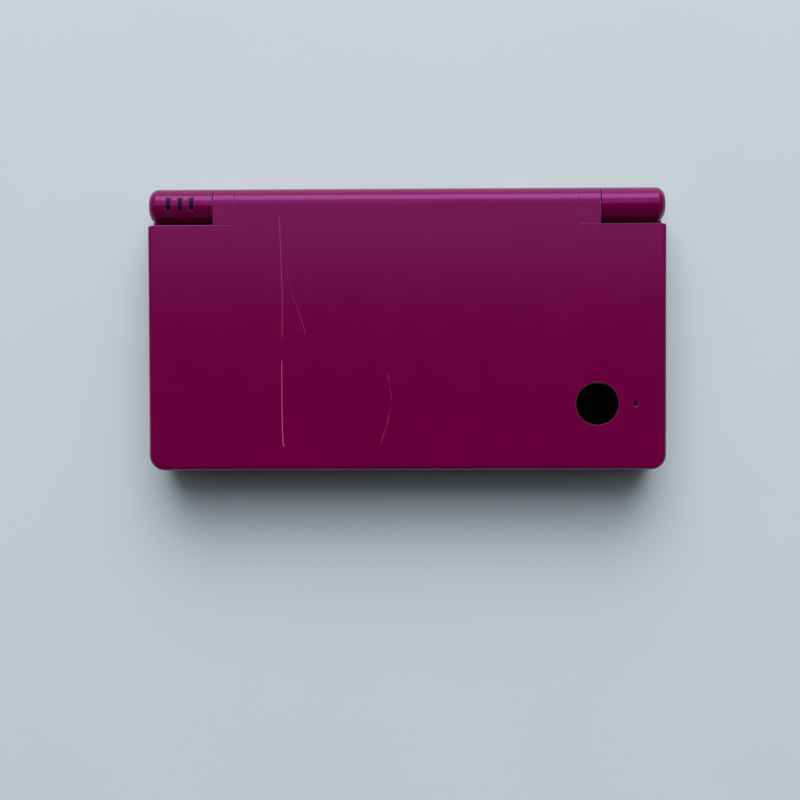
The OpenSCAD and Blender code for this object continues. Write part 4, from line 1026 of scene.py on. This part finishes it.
class HANDHELD_OT_rubber_parts(bpy.types.Operator):
    """Feet under the base and bumpers in the lid, with softly rounded rims"""

    bl_idname = "handheld.rubber_parts"
    bl_label = "Feet and bumpers"

    def execute(self, context):
        for node in ("rubber_feet", "lid_bumpers"):
            bm = bmesh.new()
            for low, high in solids_of(node):
                radius = (high.x - low.x) / 2
                turned(
                    bm,
                    [(0, low.z), (radius - 0.6, low.z), (radius - 0.25, low.z + 0.05),
                     (radius - 0.05, low.z + 0.18), (radius, low.z + 0.35), (radius, high.z), (0, high.z)],
                    ((low.x + high.x) / 2, (low.y + high.y) / 2, 0),
                )
            show(bm, f"{node}_set", bumper_rubber, [node])
        return {"FINISHED"}


class HANDHELD_OT_sockets(bpy.types.Operator):
    """Headphone jack, charging port and game card connector in the edges of the base"""

    bl_idname = "handheld.sockets"
    bl_label = "Sockets"

    def execute(self, context):
        for node, name, maker, edge in (
            ("headphone_jack", "headphone_socket", connector_lcp, 0.12),
            ("game_card_connector", "game_card_socket", connector_lcp, 0.1),
            ("charging_port", "charging_socket", tinned_steel, 0.06),
        ):
            port = show(merged_copy(node), name, maker, [node], edge * MM)
        # The tongue inside the steel shell of the charging port is plastic
        port.data.materials.append(finish(connector_lcp))
        low, high = corners_of("charging_port")
        middle, tongue, tongue_low, tongue_high = (low.x + high.x) / 2, 2.1, low.z + 1.2, low.z + 2.1
        for face in port.data.polygons:
            places = [port.data.vertices[i].co / MM for i in face.vertices]
            if all(abs(p.x - middle) < tongue and tongue_low < p.z < tongue_high for p in places):
                face.material_index = 1
        return {"FINISHED"}


class HANDHELD_OT_inner_parts(bpy.types.Operator):
    """Circuit board, battery and the parts on the board"""

    bl_idname = "handheld.inner_parts"
    bl_label = "Inner parts"

    def execute(self, context):
        keep(circuit_board, "main_board", "wireless_module")
        keep(tinned_steel, "processor_shield")
        keep(chip_epoxy, "board_components")
        keep(connector_lcp, "battery_connector")
        keep(battery_case, "battery")
        keep(ground_steel, "sleep_magnet")
        return {"FINISHED"}


class HANDHELD_OT_stage(bpy.types.Operator):
    """Pale floor, soft studio lights, and a camera that looks straight down on the lid"""

    bl_idname = "handheld.stage"
    bl_label = "Stage"

    def execute(self, context):
        settings = context.scene.handheld_stage
        context.scene.view_settings.view_transform = "Standard"
        self.add_floor(context, settings)
        self.add_world(context, settings)
        rear = self.add_light(context, "Rear_light", "AREA", settings.key, place=(0.0, 0.75, 0.5))
        rear.data.shape = "RECTANGLE"
        rear.data.size, rear.data.size_y = 1.0, 0.5
        sky = self.add_light(context, "Sky_light", "SUN", settings.sky, place=(0.0, 0.7, 0.75))
        sky.data.angle = math.radians(50)
        sky.visible_glossy = False
        data = bpy.data.cameras.new("Camera")
        data.lens = settings.lens
        data.sensor_width = 36
        camera = bpy.data.objects.new("Camera", data)
        camera.location = (*(place * MM for place in CAMERA_PLACE), settings.height)
        camera.rotation_euler = Euler(math.radians(angle) for angle in CAMERA_TURN)
        context.scene.collection.objects.link(camera)
        context.scene.camera = camera
        return {"FINISHED"}

    def add_floor(self, context, settings):
        """Painted board: pale and matt, with a faint mottling."""
        bm = bmesh.new()
        bmesh.ops.create_grid(bm, x_segments=1, y_segments=1, size=settings.reach)
        mesh = bpy.data.meshes.new("Floor")
        bm.to_mesh(mesh)
        bm.free()
        floor = bpy.data.objects.new("Floor", mesh)
        context.scene.collection.objects.link(floor)
        material, tree, shader, place = new_material("Board_painted_matt", {"Roughness": 0.7, "IOR": 1.4})
        mottle = add(
            tree, "ShaderNodeTexNoise", {"Vector": place, "Scale": 1 / (60 * MM), "Detail": 2.0}
        ).outputs[0]
        tint = add(
            tree, "ShaderNodeMix", {0: mottle, 6: rgba(settings.floor, 0.98), 7: rgba(settings.floor, 1.02)},
            data_type="RGBA",
        ).outputs[2]
        tree.links.new(tint, shader.inputs["Base Color"])
        mesh.materials.append(material)

    def add_world(self, context, settings):
        """Studio: a pale wall behind the hinge, and dark overhead and in front, where the lid looks."""
        world = bpy.data.worlds.new("Studio")
        world.use_nodes = True
        context.scene.world = world
        tree = world.node_tree
        tree.nodes.clear()
        direction = add(tree, "ShaderNodeTexCoord").outputs["Generated"]
        axes = add(tree, "ShaderNodeSeparateXYZ", {0: direction}).outputs
        rise = add(tree, "ShaderNodeMath", {0: axes["Z"]}, operation="ABSOLUTE").outputs[0]
        # The dim front fades from the horizon to nothing near the zenith
        front = add(
            tree, "ShaderNodeMapRange",
            {"Value": rise, "From Max": 0.95, "To Min": settings.front, "To Max": 0.0},
        ).outputs[0]
        # The rear wall starts a few degrees behind the zenith, and shows as a sheen on the lid's rear half
        rear = add(
            tree, "ShaderNodeMapRange",
            {"Value": axes["Y"], "From Min": 0.055, "From Max": 0.13, "To Max": settings.wall},
            interpolation_type="SMOOTHSTEP",
        ).outputs[0]
        aside = add(tree, "ShaderNodeMath", {0: axes["X"]}, operation="ABSOLUTE").outputs[0]
        middle = add(
            tree, "ShaderNodeMapRange",
            {"Value": aside, "From Min": 0.35, "From Max": 0.85, "To Min": 1.0, "To Max": 0.15},
        ).outputs[0]
        window = add(tree, "ShaderNodeMath", {0: rear, 1: middle}, operation="MULTIPLY").outputs[0]
        strength = add(tree, "ShaderNodeMath", {0: front, 1: window}, operation="MAXIMUM").outputs[0]
        background = add(
            tree, "ShaderNodeBackground", {"Color": (0.86, 0.93, 1.0, 1.0), "Strength": strength}
        ).outputs[0]
        add(tree, "ShaderNodeOutputWorld", {"Surface": background})

    def add_light(self, context, name, kind, power, place):
        """Adds a lamp that faces the console."""
        data = bpy.data.lights.new(name, kind)
        data.energy = power
        light = bpy.data.objects.new(name, data)
        light.location = place
        light.rotation_euler = Vector(place).to_track_quat("Z", "Y").to_euler()
        light.visible_camera = False
        context.scene.collection.objects.link(light)
        return light


# Lists of the operators and settings, and the panel that shows them

PIECES = (
    HANDHELD_OT_casing,
    HANDHELD_OT_cameras,
    HANDHELD_OT_lights,
    HANDHELD_OT_screens,
    HANDHELD_OT_speakers,
    HANDHELD_OT_direction_pad,
    HANDHELD_OT_buttons,
    HANDHELD_OT_shoulders,
    HANDHELD_OT_side_parts,
    HANDHELD_OT_stylus,
    HANDHELD_OT_hinge,
    HANDHELD_OT_screws,
    HANDHELD_OT_rubber_parts,
    HANDHELD_OT_sockets,
    HANDHELD_OT_inner_parts,
    HANDHELD_OT_stage,
)

SETTINGS = {
    "handheld_casing": CasingSettings,
    "handheld_controls": ControlSettings,
    "handheld_screens": ScreenSettings,
    "handheld_hardware": HardwareSettings,
    "handheld_stage": StageSettings,
}


class HANDHELD_PT_pieces(bpy.types.Panel):
    """Lists the settings and the pieces of the console"""

    bl_idname = "HANDHELD_PT_pieces"
    bl_label = "Clamshell Handheld Console"
    bl_space_type = "VIEW_3D"
    bl_region_type = "UI"
    bl_category = "Handheld"

    def draw(self, context):
        for name, group in SETTINGS.items():
            box = self.layout.box()
            for key in group.__annotations__:
                box.prop(getattr(context.scene, name), key)
        for piece in PIECES:
            self.layout.operator(piece.bl_idname)


def register():
    for group in (*SETTINGS.values(), *PIECES, HANDHELD_PT_pieces):
        bpy.utils.register_class(group)
    for name, group in SETTINGS.items():
        setattr(bpy.types.Scene, name, PointerProperty(type=group))


def unregister():
    for name in SETTINGS:
        delattr(bpy.types.Scene, name)
    for group in (HANDHELD_PT_pieces, *reversed(PIECES), *SETTINGS.values()):
        bpy.utils.unregister_class(group)


def main():
    """Registers the classes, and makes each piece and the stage."""
    register()
    for piece in PIECES:
        group, name = piece.bl_idname.split(".")
        getattr(getattr(bpy.ops, group), name)()


if __name__ == "__main__":
    main()
